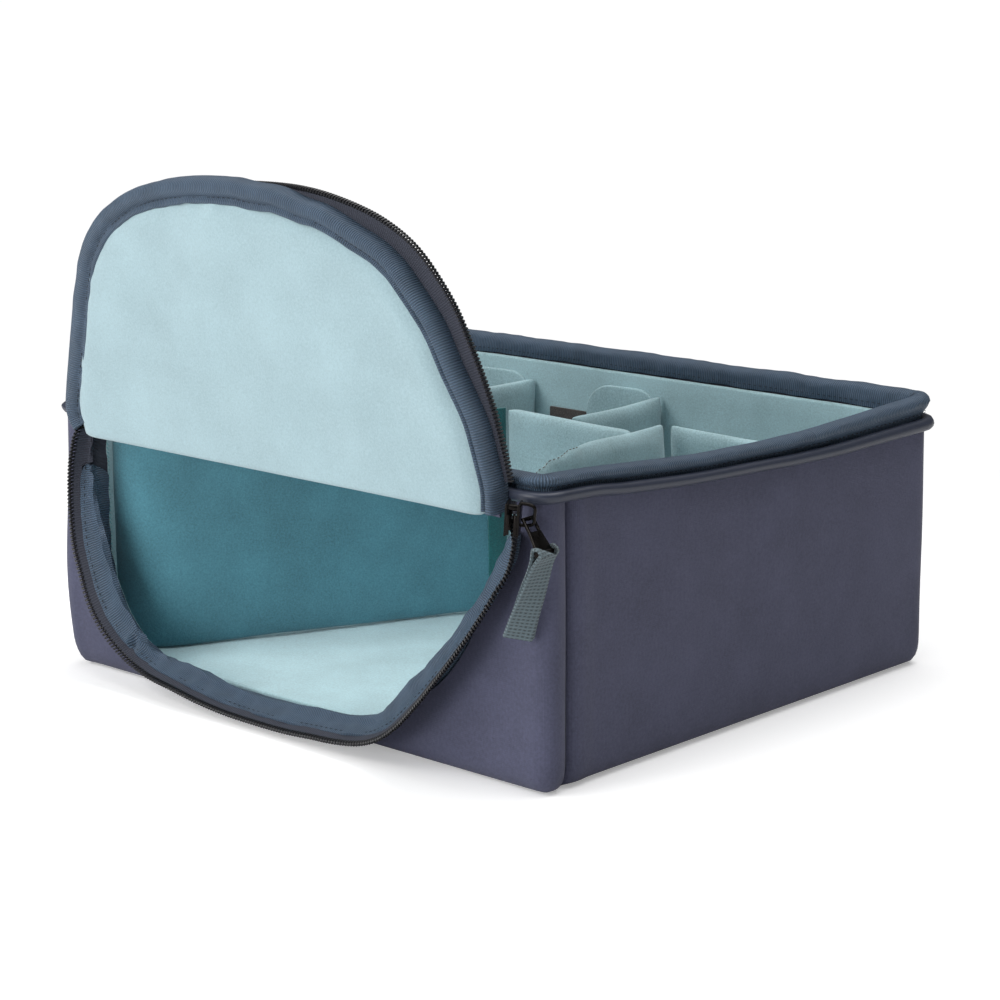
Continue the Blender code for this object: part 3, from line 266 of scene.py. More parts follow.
def brushed_cloth(name, colour, contrast=0.16, nap_depth=0.35 * MM):
    """Brushed nylon tricot: a short nap that catches light as fine specks, with soft hand marks in it."""
    made = new_material(name, 0.95, sheen=0.3, specular=0.15)
    tree, hand_mark = made[1], 32 * MM
    where = add_node(tree, "ShaderNodeTexCoord", output="Object")
    nap = add_node(tree, "ShaderNodeTexNoise", None,
                   {"Vector": where, "Scale": 1 / sizes().nap, "Detail": 3.0, "Roughness": 0.75})
    marks = add_node(tree, "ShaderNodeTexNoise", None,
                     {"Vector": where, "Scale": 1 / hand_mark, "Detail": 2.0, "Roughness": 0.6})
    both = weighed(tree, (nap, 0.65), (marks, 0.35))
    clear = add_node(tree, "ShaderNodeMapRange", None, {0: both, 1: 0.34, 2: 0.66, 3: 0.0, 4: 1.0})
    return dress(made, colour, clear, 1 - contrast, 1 + contrast, both, nap_depth)


def laminated_cloth(name, colour):
    """Nylon taffeta laminated to foam: nearly plain, with a fine even weave and faint mottling."""
    made = new_material(name, 0.78, sheen=0.06, specular=0.35)
    tree, speck_size, mottle_size = made[1], 1.3 * MM, 24 * MM
    where = add_node(tree, "ShaderNodeTexCoord", output="Object")
    threads = [add_node(tree, "ShaderNodeTexWave", {"bands_direction": axis},
                        {"Vector": where, "Scale": band_scale(sizes().weave), "Distortion": 0.4, "Detail": 1.0,
                         "Detail Scale": 2.0}, "Fac") for axis in "XYZ"]
    speck = add_node(tree, "ShaderNodeTexNoise", None,
                     {"Vector": where, "Scale": 1 / speck_size, "Detail": 3.0, "Roughness": 0.7})
    mottle = add_node(tree, "ShaderNodeTexNoise", None,
                      {"Vector": where, "Scale": 1 / mottle_size, "Detail": 3.0, "Roughness": 0.6})
    both = weighed(tree, (speck, 0.6), (mottle, 0.4))
    clear = add_node(tree, "ShaderNodeMapRange", None, {0: both, 1: 0.35, 2: 0.65, 3: 0.0, 4: 1.0})
    height = weighed(tree, *[(thread, 0.33) for thread in threads], (speck, 0.5))
    return dress(made, colour, clear, 0.8, 1.18, height, 0.12 * MM, 0.7)


def ribbed_tape(name, colour, pitch, depth, roughness, darkest):
    """Woven tape with a rib across it: painted highlights on the raised weft and painted shade between the ribs,
    with larger patches of painted highlight and shade.
    """
    made = new_material(name, roughness, sheen=0.03, specular=0.4)
    tree, thread_size, patch_size = made[1], 0.5 * MM, 14 * MM
    where = add_node(tree, "ShaderNodeTexCoord", output="UV")
    rib = add_node(tree, "ShaderNodeTexWave", {"bands_direction": "X"},
                   {"Vector": where, "Scale": band_scale(pitch), "Distortion": 0.6, "Detail": 1.0,
                    "Detail Scale": 2.0}, "Fac")
    threads = add_node(tree, "ShaderNodeTexNoise", None,
                       {"Vector": where, "Scale": 1 / thread_size, "Detail": 2.0, "Roughness": 0.6})
    light_and_shade_patches = add_node(tree, "ShaderNodeTexNoise", None,
                    {"Vector": where, "Scale": 1 / patch_size, "Detail": 3.0, "Roughness": 0.6})
    # The ribs and the 14 mm patches shade the colour from the darkest factor up to 1.62 times: painted shade and
    # painted highlights of the ribs and of the crumpled tape.
    shade = weighed(tree, (rib, 0.6), (light_and_shade_patches, 0.5))
    return dress(made, colour, shade, darkest, 1.62, weighed(tree, (rib, 1.0), (threads, 0.4)), depth)


def smooth_plastic(name, colour, roughness, grain, depth):
    """Moulded or coated plastic: even colour, with fine grain in the gloss."""
    made = new_material(name, roughness)
    where = add_node(made[1], "ShaderNodeTexCoord", output="Object")
    speck = add_node(made[1], "ShaderNodeTexNoise", None,
                     {"Vector": where, "Scale": 1 / grain, "Detail": 3.0, "Roughness": 0.6})
    return dress(made, colour, speck, 0.85, 1.15, speck, depth)


def plated_metal(name, colour):
    """Die-cast zinc with black nickel plating: dark mirror that is rubbed a little brighter in spots."""
    made = new_material(name, 0.28, metallic=1.0)
    tree, rubbed_size, pit_size = made[1], 3 * MM, 0.6 * MM
    where = add_node(tree, "ShaderNodeTexCoord", output="Object")
    rubbed = add_node(tree, "ShaderNodeTexNoise", None,
                      {"Vector": where, "Scale": 1 / rubbed_size, "Detail": 4.0, "Roughness": 0.6})
    pits = add_node(tree, "ShaderNodeTexNoise", None,
                    {"Vector": where, "Scale": 1 / pit_size, "Detail": 2.0, "Roughness": 0.6})
    gloss = add_node(tree, "ShaderNodeMapRange", None, {0: rubbed, 1: 0.3, 2: 0.7, 3: 0.22, 4: 0.4})
    tree.links.new(gloss, made[2].inputs["Roughness"])
    return dress(made, colour, rubbed, 0.55, 1.35, pits, 0.02 * MM)


def heather_webbing(name, colour):
    """Nylon webbing of mixed grey yarns, with rows of ribs across it: the ribs are painted light and the gaps
    between ribs and columns nearly black, as painted highlight and painted shade over the yarns' own tone.
    """
    made = new_material(name, 0.8, sheen=0.15, specular=0.3)
    tree, rib_pitch, column_pitch, yarn_size = made[1], 1.6 * MM, 2.1 * MM, 0.55 * MM
    where = add_node(tree, "ShaderNodeTexCoord", output="UV")
    rib, column = (add_node(tree, "ShaderNodeTexWave", {"bands_direction": axis},
                            {"Vector": where, "Scale": band_scale(pitch), "Distortion": distortion,
                             "Detail": 1.0, "Detail Scale": 2.0}, "Fac")
                   for axis, pitch, distortion in (("X", rib_pitch, 1.2), ("Y", column_pitch, 0.8)))
    yarn = add_node(tree, "ShaderNodeTexNoise", None,
                    {"Vector": where, "Scale": 1 / yarn_size, "Detail": 2.0, "Roughness": 0.8})
    # Ribs and columns light, the gaps between them nearly black once shaded from 0.02 to 2.5 times: painted shade
    # in the weave's gaps and painted highlight on the ribs.
    ribs_lit_gaps_shaded = add_node(tree, "ShaderNodeMath", {"operation": "MAXIMUM"},
                      {0: rib, 1: weighed(tree, (column, 0.75))})
    lit = weighed(tree, (ribs_lit_gaps_shaded, 0.6), (yarn, 0.45))
    return dress(made, colour, lit, 0.02, 2.5, lit, 0.35 * MM)


def make_materials():
    """Makes every material once, and gives the frame's own nodes that stay the material of their kind."""
    c = colours()
    rib = sizes().rib_pitch
    made = {
        "shell": laminated_cloth("laminated_nylon", c.shell),
        "lining": brushed_cloth("brushed_tricot_lining", c.lining, 0.2),
        "door_lining": brushed_cloth("brushed_tricot_door_painted_shade", c.door_lining, 0.13),
        "divider": brushed_cloth("brushed_tricot_divider", c.divider, 0.27),
        "access": brushed_cloth("teal_felt", c.access, 0.28, 0.5 * MM),
        "strip": brushed_cloth("hook_tape", c.hook_strip, 0.35, 0.6 * MM),
        "patch": brushed_cloth("hook_patch_pile", c.hook_patch, 0.4, 0.6 * MM),
        "binding": ribbed_tape("grosgrain_binding", c.binding, rib, 0.38 * MM, 0.52, 0.3),
        "tape": ribbed_tape("woven_zip_tape", c.tape, rib, 0.2 * MM, 0.75, 0.7),
        "coil": smooth_plastic("nylon_coil", c.coil, 0.38, 0.8 * MM, 0.02 * MM),
        "piping": smooth_plastic("coated_piping", c.piping, 0.42, 2.5 * MM, 0.06 * MM),
        "metal": plated_metal("black_nickel", c.metal),
        "webbing": heather_webbing("heather_webbing", c.webbing),
        "thread": smooth_plastic("sewing_thread", c.thread, 0.7, 0.5 * MM, 0.05 * MM),
        "pale_thread": smooth_plastic("overlock_thread", c.pale_thread, 0.8, 0.5 * MM, 0.05 * MM),
        "brown_thread": smooth_plastic("brown_sewing_thread", c.brown_thread, 0.8, 0.5 * MM, 0.05 * MM),
        "foam": brushed_cloth("closed_cell_foam", c.foam, 0.1),
    }
    for name, node in frame["nodes"].items():
        if "foam" in name:
            node.data.materials.clear()
            node.data.materials.append(made["foam"])
    return made


# Lines that the pieces follow

def smoothstep(value):
    value = min(max(value, 0.0), 1.0)
    return value * value * (3 - 2 * value)


class Line:
    """A line through points, read by the share of its length."""

    def __init__(self, points, closed=False):
        self.points = [Vector(point) for point in points]
        if closed:
            self.points.append(self.points[0].copy())
        self.distances = [0.0]
        for first, second in zip(self.points, self.points[1:]):
            self.distances.append(self.distances[-1] + (second - first).length)
        self.length = self.distances[-1]

    def at(self, share):
        wanted = min(max(share, 0.0), 1.0) * self.length
        low, high = 0, len(self.points) - 1
        while high - low > 1:
            middle = (low + high) // 2
            if self.distances[middle] <= wanted:
                low = middle
            else:
                high = middle
        span = self.distances[high] - self.distances[low]
        part = (wanted - self.distances[low]) / span if span else 0.0
        return self.points[low].lerp(self.points[high], part)


def smooth_between(a, b, c, d, t):
    """A smooth curve from b to c, led by the points before and after them."""
    return 0.5 * ((2 * b) + (c - a) * t + (2 * a - 5 * b + 4 * c - d) * t * t
                  + (3 * b - a - 3 * c + d) * t * t * t)


def rounded(points, closed=True, steps=5):
    """A smooth line through a few points, passing through each of them."""
    points = [Vector(point) for point in points]
    count = len(points)
    made = []
    for i in range(count if closed else count - 1):
        if closed:
            near = [points[(i + k) % count] for k in (-1, 0, 1, 2)]
        else:
            near = [points[min(max(i + k, 0), count - 1)] for k in (-1, 0, 1, 2)]
        made += [smooth_between(*near, step / steps) for step in range(steps)]
    if not closed:
        made.append(points[-1])
    return Line(made, closed)


def round_section(radius, steps):
    """The round section of a cord."""
    return Line([(radius * math.cos(2 * math.pi * i / steps), radius * math.sin(2 * math.pi * i / steps))
                 for i in range(steps)], closed=True)


def flat_section(half):
    """The section of a tape: the share across it, and half its thickness to each side."""
    return rounded([(0.0, -half), (1.0, -half), (1.0, half), (0.0, half)], steps=1)


def read_table(rows, where):
    """The lengths in a table of millimetres, eased from row to row."""
    where = min(max(where, rows[0][0]), rows[-1][0])
    i = next(i for i in range(len(rows) - 1) if where <= rows[i + 1][0])
    part = smoothstep((where - rows[i][0]) / (rows[i + 1][0] - rows[i][0]))
    return [MM * (low + (high - low) * part) for low, high in zip(rows[i][1:], rows[i + 1][1:])]


def plan_ring(start_y):
    """The body's outline seen from above, counterclockwise from a point on the right side."""
    half_x = BODY_HALF_X - CORNER_RADIUS
    half_y = BODY_HALF_Y - CORNER_RADIUS
    points = [Vector((BODY_HALF_X, start_y))]
    steps = 14
    for quarter, (side_x, side_y) in enumerate(((1, 1), (-1, 1), (-1, -1), (1, -1))):
        for step in range(steps + 1):
            angle = math.pi / 2 * (quarter + step / steps)
            points.append(Vector((side_x * half_x + CORNER_RADIUS * math.cos(angle),
                                  side_y * half_y + CORNER_RADIUS * math.sin(angle))))
    return Line(points, closed=True)


def ring_station(ring, share):
    """A point of the ring and its outward normal."""
    nudge = LINE_STEP / ring.length
    along = (ring.at((share + nudge) % 1.0) - ring.at((share - nudge) % 1.0)).normalized()
    return ring.at(share), Vector((along.y, -along.x))


def rim_shift(point):
    """How far cloth near the rim stands over its level, so that the binding is narrower towards the door."""
    top, piping = read_table(RIM_LEVELS, point.y / MM)
    reach = 25 * MM
    if point.z < PIPING_LEVEL:
        return piping * smoothstep((point.z - PIPING_LEVEL + reach) / reach)
    return piping + (top - piping) * (point.z - PIPING_LEVEL) / (RIM_TOP - PIPING_LEVEL)


def settle(point):
    """Soft walls: the folded door pulls its end of the rim up, and the long sides sag a little."""
    s = sizes()
    pull_start, side_start, side_run = 20 * MM, 110 * MM, 30 * MM
    sag_middle, sag_reach = 42 * MM, 62 * MM
    height = min(max(point.z / RIM_TOP, 0.0), 1.0) ** 2
    towards_door = smoothstep((-point.y - pull_start) / (BODY_HALF_Y - pull_start))
    long_side = smoothstep((abs(point.x) - side_start) / side_run)
    sag = math.exp(-(((point.y - sag_middle) / sag_reach) ** 2)) * long_side
    lifted = point.copy()
    lifted.z += height * (s.rim_rise * towards_door - s.rim_sag * sag) + rim_shift(point)
    return lifted


def door_outline():
    """The door's edge from the right hinge end round to the left, as x and distance from the hinge."""
    power = 2 / DOOR_ROUNDNESS_SHARE
    count = 720
    points = []
    for step in range(count + 1):
        angle = math.pi * step / count
        depth_share = max(math.sin(angle), 0.0) ** power
        side = math.copysign(abs(math.cos(angle)) ** power, math.cos(angle))
        points.append((DOOR_HALF_WIDTH * side * (1 - DOOR_TAPER_SHARE * depth_share), DOOR_REACH * depth_share))
    return Line(points)


DOOR_LINE = door_outline()


def edge_station(line, share, smoothing):
    """A point of a door edge with its outward normal: x, distance from the hinge, and the normal's two parts."""
    nudge = smoothing / line.length
    here = line.at(share)
    along = (line.at(share + nudge) - line.at(share - nudge)).normalized()
    return here.x, here.y, along.y, -along.x


def door_station(share):
    """A station of the door's edge as the frame has it."""
    return edge_station(DOOR_LINE, share, 4 * LINE_STEP)


def share_at_depth(depth):
    """The share of the door's edge, from the right end, at a distance from the hinge."""
    for point, distance in zip(DOOR_LINE.points, DOOR_LINE.distances):
        if point.y >= depth:
            return distance / DOOR_LINE.length
    return 0.5


FLAP_LINE = rounded([(x * MM, reach * MM) for x, reach in DOOR_EDGE], closed=False, steps=14)


def flap_station(share):
    """A station of the raised door's edge."""
    return edge_station(FLAP_LINE, share, 6 * LINE_STEP)


def read_length(rows, share):
    """The first length in a table of millimetres, eased from row to row."""
    return read_table(rows, share)[0]


FLAP_SAMPLES = [(point, read_length(DOOR_TAPE, distance / FLAP_LINE.length))
                for point, distance in list(zip(FLAP_LINE.points, FLAP_LINE.distances))[6::10]]


def read_rows(rows, share):
    """Two lengths read smoothly between the rows of a table in millimetres."""
    last = len(rows) - 2
    i = next((i for i in range(last + 1) if share <= rows[i + 1][0]), last)
    near = [Vector(rows[min(max(i + k, 0), last + 1)][1:]) for k in (-1, 0, 1, 2)]
    part = min(max((share - rows[i][0]) / (rows[i + 1][0] - rows[i][0]), 0.0), 1.0)
    return MM * smooth_between(*near, part)


def on_door(x, reach, out):
    """A place on the raised door: across, away from the hinge, and out to the lining side."""
    local = Vector((x, DOOR_SET_BACK - out, reach))
    return HINGE + Matrix.Rotation(DOOR_LEAN, 3, "X") @ local


def on_flap(share, offset, out):
    """A place by the raised door's edge: outward from its line, and out to the lining side."""
    x, reach, normal_x, normal_down = flap_station(share)
    return on_door(x + normal_x * offset, reach + normal_down * offset, out)


def on_frame(share, offset, forward):
    """A place at the door's frame: outward from the door's edge line, and forward of the end face."""
    x, depth, normal_x, normal_down = door_station(share)
    return Vector((x + normal_x * offset, DOOR_FACE_Y - forward, HINGE.z - depth - normal_down * offset))


# Making pieces

def finish_piece(shape, name, material, body, replaces=(), slot=None, sharp=40):
    """Turns a bmesh into a piece of the object that rides on a body, or on none if the body is None."""
    mesh = bpy.data.meshes.new(name)
    shape.to_mesh(mesh)
    shape.free()
    mesh.shade_smooth()
    mesh.set_sharp_from_angle(angle=math.radians(sharp))
    piece = bpy.data.objects.new(name, mesh)
    bpy.context.scene.collection.objects.link(piece)
    mesh.materials.append(material)
    if body:
        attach(piece, body)
    if replaces:
        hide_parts(*replaces)
    return piece


def skin(place, along_count, across_count, along_length, across_length, tube=True, loop=False):
    """A grid bent into a surface: place turns the shares along and across into a point.
    A tube is joined across, with its ends closed unless it is a loop. The UV map is in metres."""
    shape = bmesh.new()
    layer = shape.loops.layers.uv.new("UVMap")
    bmesh.ops.create_grid(shape, x_segments=along_count, y_segments=across_count, size=0.5, calc_uvs=True)
    for face in shape.faces:
        for corner in face.loops:
            uv = corner[layer].uv
            corner[layer].uv = (uv.x * along_length, uv.y * across_length)
    for vert in shape.verts:
        vert.co = place(vert.co.x + 0.5, vert.co.y + 0.5)
    if tube:
        bmesh.ops.remove_doubles(shape, verts=shape.verts, dist=0.01 * MM)
        if not loop:
            edges = [edge for edge in shape.edges if edge.is_boundary]
            bmesh.ops.holes_fill(shape, edges=edges)
    bmesh.ops.recalc_face_normals(shape, faces=shape.faces)
    return shape


def swept(name, station_place, section, along_count, length, material, body, replaces=(), slot=None,
          across_steps=None, loop=False, sharp=50):
    """A closed section carried along a line. station_place turns a share and a section point into a place."""
    across = across_steps or len(section.points) - 1
    shape = skin(lambda u, v: station_place(u, section.at(v)), along_count, across, length, section.length,
                 tube=True, loop=loop)
    return finish_piece(shape, name, material, body, replaces, slot, sharp)


def coil(name, centre, length, material, body, replaces=(), slot="teeth"):
    """A zip coil: nylon monofilament wound along a line, flattened where it is sewn to the tape.
    centre gives, at a share, the line's point, the way out to the mating side, and the tape's normal."""
    turns = int(length / sizes().coil_pitch)
    steps_a_turn, sides = 9, 5
    wire, half_out, half_thick = 0.52 * MM, 1.15 * MM, 0.7 * MM
    count = turns * steps_a_turn

    def wound(share):
        point, outward, normal = centre(share)
        angle = 2 * math.pi * turns * share
        return point + outward * (half_out * math.cos(angle)) + normal * (half_thick * math.sin(angle))

    def place(u, v):
        nudge = 0.5 / count
        here = wound(u)
        along = (wound(min(u + nudge, 1.0)) - wound(max(u - nudge, 0.0))).normalized()
        side = along.cross(centre(u)[2]).normalized()
        lift = side.cross(along)
        angle = 2 * math.pi * v
        return here + side * (wire * math.cos(angle)) + lift * (wire * math.sin(angle))

    shape = skin(place, count, sides, length, wire)
    return finish_piece(shape, name, material, body, replaces, slot, 60)


def stitches(name, place, length, material, body, pitch=None, size=(1.9, 0.42), lean=0.0):
    """A row of stitches. place gives, at a share of the row, a point, the way along and the way off the cloth."""
    pitch = pitch or sizes().stitch_pitch
    count = max(int(length / pitch), 1)
    long, thick = size[0] * MM / 2, size[1] * MM / 2
    shape = bmesh.new()
    for i in range(count):
        point, along, normal = place((i + 0.5) / count)
        along = (Matrix.Rotation(lean, 3, normal) @ along).normalized()
        side = normal.cross(along).normalized()
        turn = Matrix((along, side, along.cross(side))).transposed().to_4x4()
        scale = Matrix.Diagonal((long, thick, thick, 1.0))
        bmesh.ops.create_uvsphere(shape, u_segments=6, v_segments=4, radius=1.0,
                                  matrix=Matrix.Translation(point) @ turn @ scale)
    return finish_piece(shape, name, material, body)


def line_frame(line, share, normal):
    """A line's point, its direction and a fixed normal at a share, for stitches."""
    nudge = LINE_STEP / line.length
    along = (line.at(share + nudge) - line.at(share - nudge)).normalized()
    return line.at(share), along, Vector(normal)


def ripple(point, feature, depth, seed=0.0):
    """Smooth unevenness of a sewn surface, the same on every run."""
    return depth * noise.noise(Vector(point) / feature + Vector((seed, seed, seed)))


def box_shape(size, centre=(0, 0, 0)):
    """A plain box."""
    shape = bmesh.new()
    bmesh.ops.create_cube(shape, size=1.0)
    bmesh.ops.scale(shape, vec=size, verts=shape.verts)
    bmesh.ops.translate(shape, vec=centre, verts=shape.verts)
    return shape


def round_edges(shape, edges, offset, segments):
    bmesh.ops.bevel(shape, geom=edges, offset=offset, segments=segments, affect="EDGES", profile=0.5, material=-1)


def divide(shape, low, high, cell, axes=(0, 1, 2), margin=0.0):
    """Cuts a shape's flat faces into cells, so that it can be bent, with no cut in a margin at its sides."""
    size = Vector(high) - Vector(low)
    for axis in axes:
        count = int(size[axis] / cell)
        for i in range(1, count):
            plane, normal = [0.0, 0.0, 0.0], [0.0, 0.0, 0.0]
            plane[axis] = low[axis] + size[axis] * i / count
            normal[axis] = 1.0
            if min(plane[axis] - low[axis], high[axis] - plane[axis]) > margin:
                bmesh.ops.bisect_plane(shape, geom=shape.verts[:] + shape.edges[:] + shape.faces[:],
                                       plane_co=plane, plane_no=normal, dist=0.001 * MM)


def soft_box(low, high, radius, cell, segments=4):
    """A box with soft edges, divided finely enough to be puffed."""
    size = Vector(high) - Vector(low)
    shape = box_shape(size, (Vector(high) + Vector(low)) / 2)
    round_edges(shape, shape.edges[:], min(radius, min(size) * 0.48), segments)
    divide(shape, low, high, cell, margin=radius)
    return shape


def plate(outline, start_y, thickness, cells=None):
    """A flat plate: an outline in x and z, given its thickness along Y, and cut into cells if they are given."""
    shape = bmesh.new()
    face = shape.faces.new([shape.verts.new((x, start_y, z)) for x, z in outline])
    made = bmesh.ops.extrude_face_region(shape, geom=[face])
    moved = [item for item in made["geom"] if isinstance(item, bmesh.types.BMVert)]
    bmesh.ops.translate(shape, vec=(0, thickness, 0), verts=moved)
    if cells:
        divide(shape, *cells)
    bmesh.ops.recalc_face_normals(shape, faces=shape.faces)
    return shape


def swell(piece, cap, voxel, pressure=4.0, frames=20):
    """Swells a padded piece as its filling would, by a short cloth simulation, and smooths the result."""
    source = piece.data
    remesh = piece.modifiers.new("remesh", "REMESH")
    remesh.mode = "VOXEL"
    remesh.voxel_size = voxel
    apply_modifiers(piece)
    rest = [vert.co.copy() for vert in piece.data.vertices]
    cloth = piece.modifiers.new("cloth", "CLOTH")
    cloth.settings.use_pressure = True
    cloth.settings.uniform_pressure_force = pressure
    cloth.settings.effector_weights.gravity = 0
    cloth.settings.quality = 4
    cloth.collision_settings.use_collision = False
    cloth.point_cache.frame_start = 1
    cloth.point_cache.frame_end = frames
    for at_frame in range(1, frames + 1):
        bpy.context.scene.frame_set(at_frame)
    apply_modifiers(piece)
    bpy.context.scene.frame_set(1)
    for vert, start in zip(piece.data.vertices, rest):
        moved = vert.co - start
        if moved.length > cap:
            vert.co = start + moved * (cap / moved.length)
    shape = bmesh.new()
    shape.from_mesh(piece.data)
    bmesh.ops.smooth_vert(shape, verts=shape.verts, factor=0.5, use_axis_x=True, use_axis_y=True,
                          use_axis_z=True)
    shape.to_mesh(piece.data)
    shape.free()
    piece.data.shade_smooth()
    bpy.data.meshes.remove(source)


def apply_modifiers(piece):
    """Replaces the piece's mesh by its evaluated mesh, and removes its modifiers."""
    graph = bpy.context.evaluated_depsgraph_get()
    mesh = bpy.data.meshes.new_from_object(piece.evaluated_get(graph))
    materials = list(piece.data.materials)
    piece.modifiers.clear()
    piece.data = mesh
    mesh.materials.clear()
    for material in materials:
        mesh.materials.append(material)


def subdivide(piece, levels=1):
    modifier = piece.modifiers.new("subdivision", "SUBSURF")
    modifier.levels = levels
    modifier.render_levels = levels


# Pieces of the body

CLOTH = 1.0 * MM
RING_START_Y = 42 * MM
SEAM_Y = -(BODY_HALF_Y - SEAM_SET_BACK)
RING = plan_ring(RING_START_Y)


def on_rim(share, offset, height):
    """A place on the soft walls: by the share of the way round, outward of the body's outline, at a height."""
    place, normal = ring_station(RING, share)
    flat = place + normal * offset
    return settle(Vector((flat.x, flat.y, height)))


def wall_height_line(top):
    """The outer cloth's run from under the base up to the piping, as inset and height."""
    points = [(9, 0.5), (6, 0.6), (2.8, 2.2), (0.7, 6.5), (0.0, 14), (-0.2, 40), (-0.3, 75), (0.0, 105)]
    return rounded([(inset * MM, height * MM) for inset, height in points] + [(0.2 * MM, top)],
                   closed=False, steps=6)


def shell_place(point, normal, inset, height, roll=0.0):
    """A place on the outer cloth, with slight unevenness, rolled inward near a seam."""
    uneven = ripple((point.x, point.y, height), 60 * MM, 0.8 * MM) * smoothstep(height / (30 * MM))
    # The left front corner bulges out
    bulge, bulge_level, bulge_reach, foot = 3.2 * MM, 45 * MM, 38 * MM, 14 * MM
    corner = smoothstep((-point.x - 100 * MM) / (50 * MM)) * smoothstep((-point.y - 80 * MM) / (50 * MM))
    upright = math.exp(-(((height - bulge_level) / bulge_reach) ** 2)) * smoothstep(height / foot)
    uneven += bulge * corner * upright
    flat = point - normal * (inset + roll - uneven)
    return settle(Vector((flat.x, flat.y, height)))


def seam_roll(distance, width=6.0 * MM, depth=3.0 * MM):
    """How far cloth turns in towards a seam, as a quarter round."""
    puff = 0.9 * MM * math.exp(-(((distance - 9 * MM) / (4 * MM)) ** 2))
    left = max(1 - distance / width, 0.0)
    return depth * (1 - math.sqrt(max(1 - left * left, 0.0))) - puff


def wall_cloth(wall, first, span, out, steps):
    """A length of the outer cloth, over a span of the body's outline from a share of it, and its run."""
    length = span * RING.length

    def place(u, v):
        point, normal = ring_station(RING, (first + u * span) % 1.0)
        inset, height = wall.at(v)
        roll = seam_roll(min(u * length, length - u * length)) - out
        return shell_place(point, normal, inset, height, roll)

    return skin(place, steps, 40, length, wall.length, tube=False), length


def build_shell(materials):
    """The outer cloth: one wrap round three sides, the door end's panel with its hole, and the base."""
    wall = wall_height_line(PIPING_LEVEL)
    right_seam = (RING.length - (RING_START_Y - SEAM_Y)) / RING.length
    left_seam = ring_share_of(Vector((-BODY_HALF_X, SEAM_Y)))

    shape, length = wall_cloth(wall, right_seam, 1 - (right_seam - left_seam), 0.0, 220)
    piece = finish_piece(shape, "shell_wrap_cloth", materials["shell"], "shell", ("shell_wrap",), "shell")
    thicken(piece, CLOTH)

    shape, length = wall_cloth(wall, left_seam, right_seam - left_seam, CLOTH, 170)
    middle = min(shape.faces, key=lambda face: face.calc_center_median().y)
    if middle.normal.y > 0:
        bmesh.ops.reverse_faces(shape, faces=shape.faces)
    piece = finish_piece(shape, "door_end_cloth", materials["shell"], "shell", ("door_end_panel",), "shell_end")
    cut_door_hole(piece)

    # Each corner seam gets a dark cord in the thread's colour, sunk in its groove and far thicker than thread:
    # painted shade of the groove.
    cord_inset = 2.9 * MM
    for name, side in (("right_seam_shade_cord", 1), ("left_seam_shade_cord", -1)):
        def taped(u, point, side=side):
            inset, height = wall.at(0.12 + 0.88 * u)
            return settle(Vector((side * (BODY_HALF_X - inset - cord_inset + point.x), SEAM_Y + point.y, height)))

        swept(name, taped, round_section(1.3 * MM, 10), 60, wall.length, materials["thread"], "shell", (), "shell")

    margin = 14 * MM
    base_size = (2 * BODY_HALF_X - margin, 2 * BODY_HALF_Y - margin, 1.2 * MM)
    shape = box_shape(base_size, (0, 0, 0.75 * MM))
    upright = [edge for edge in shape.edges if abs(edge.verts[0].co.z - edge.verts[1].co.z) > MM / 2]
    round_edges(shape, upright, 9 * MM, 6)
    base = finish_piece(shape, "base_cloth", materials["shell"], "shell", ("base_shell",), "shell")


def ring_share_of(point):
    """The share of the plan ring that lies nearest to a point."""
    best = min(range(len(RING.points)), key=lambda i: (RING.points[i] - point).length)
    return RING.distances[best] / RING.length


def thicken(piece, thickness):
    """Gives an open sheet its thickness inwards."""
    modifier = piece.modifiers.new("thickness", "SOLIDIFY")
    modifier.thickness = thickness
    modifier.offset = -1.0


def cut_door_hole(piece):
    """Cuts the end panel open inside the frame's binding, up past the hinge."""
    first = share_at_depth(12 * MM)
    count, behind_binding = 60, 1.6 * MM
    outline = []
    for step in range(count + 1):
        share = first + (1 - 2 * first) * step / count
        place = on_frame(share, read_length(HOLE_EDGE, share) + behind_binding, 0.0)
        outline.append((place.x, place.z))
    outline = [(outline[0][0], RIM_TOP)] + outline + [(outline[-1][0], RIM_TOP)]
    mesh = bpy.data.meshes.new("door_hole")
    shape = plate(outline, DOOR_FACE_Y - 20 * MM, 60 * MM)
    shape.to_mesh(mesh)
    shape.free()
    cutter = bpy.data.objects.new("door_hole", mesh)
    bpy.context.scene.collection.objects.link(cutter)
    thicken(piece, CLOTH)
    modifier = piece.modifiers.new("hole", "BOOLEAN")
    modifier.operation = "DIFFERENCE"
    modifier.solver = "EXACT"
    modifier.object = cutter
    apply_modifiers(piece)
    bpy.data.objects.remove(cutter, do_unlink=True)
    piece.data.shade_smooth()
    piece.data.set_sharp_from_angle(angle=math.radians(40))


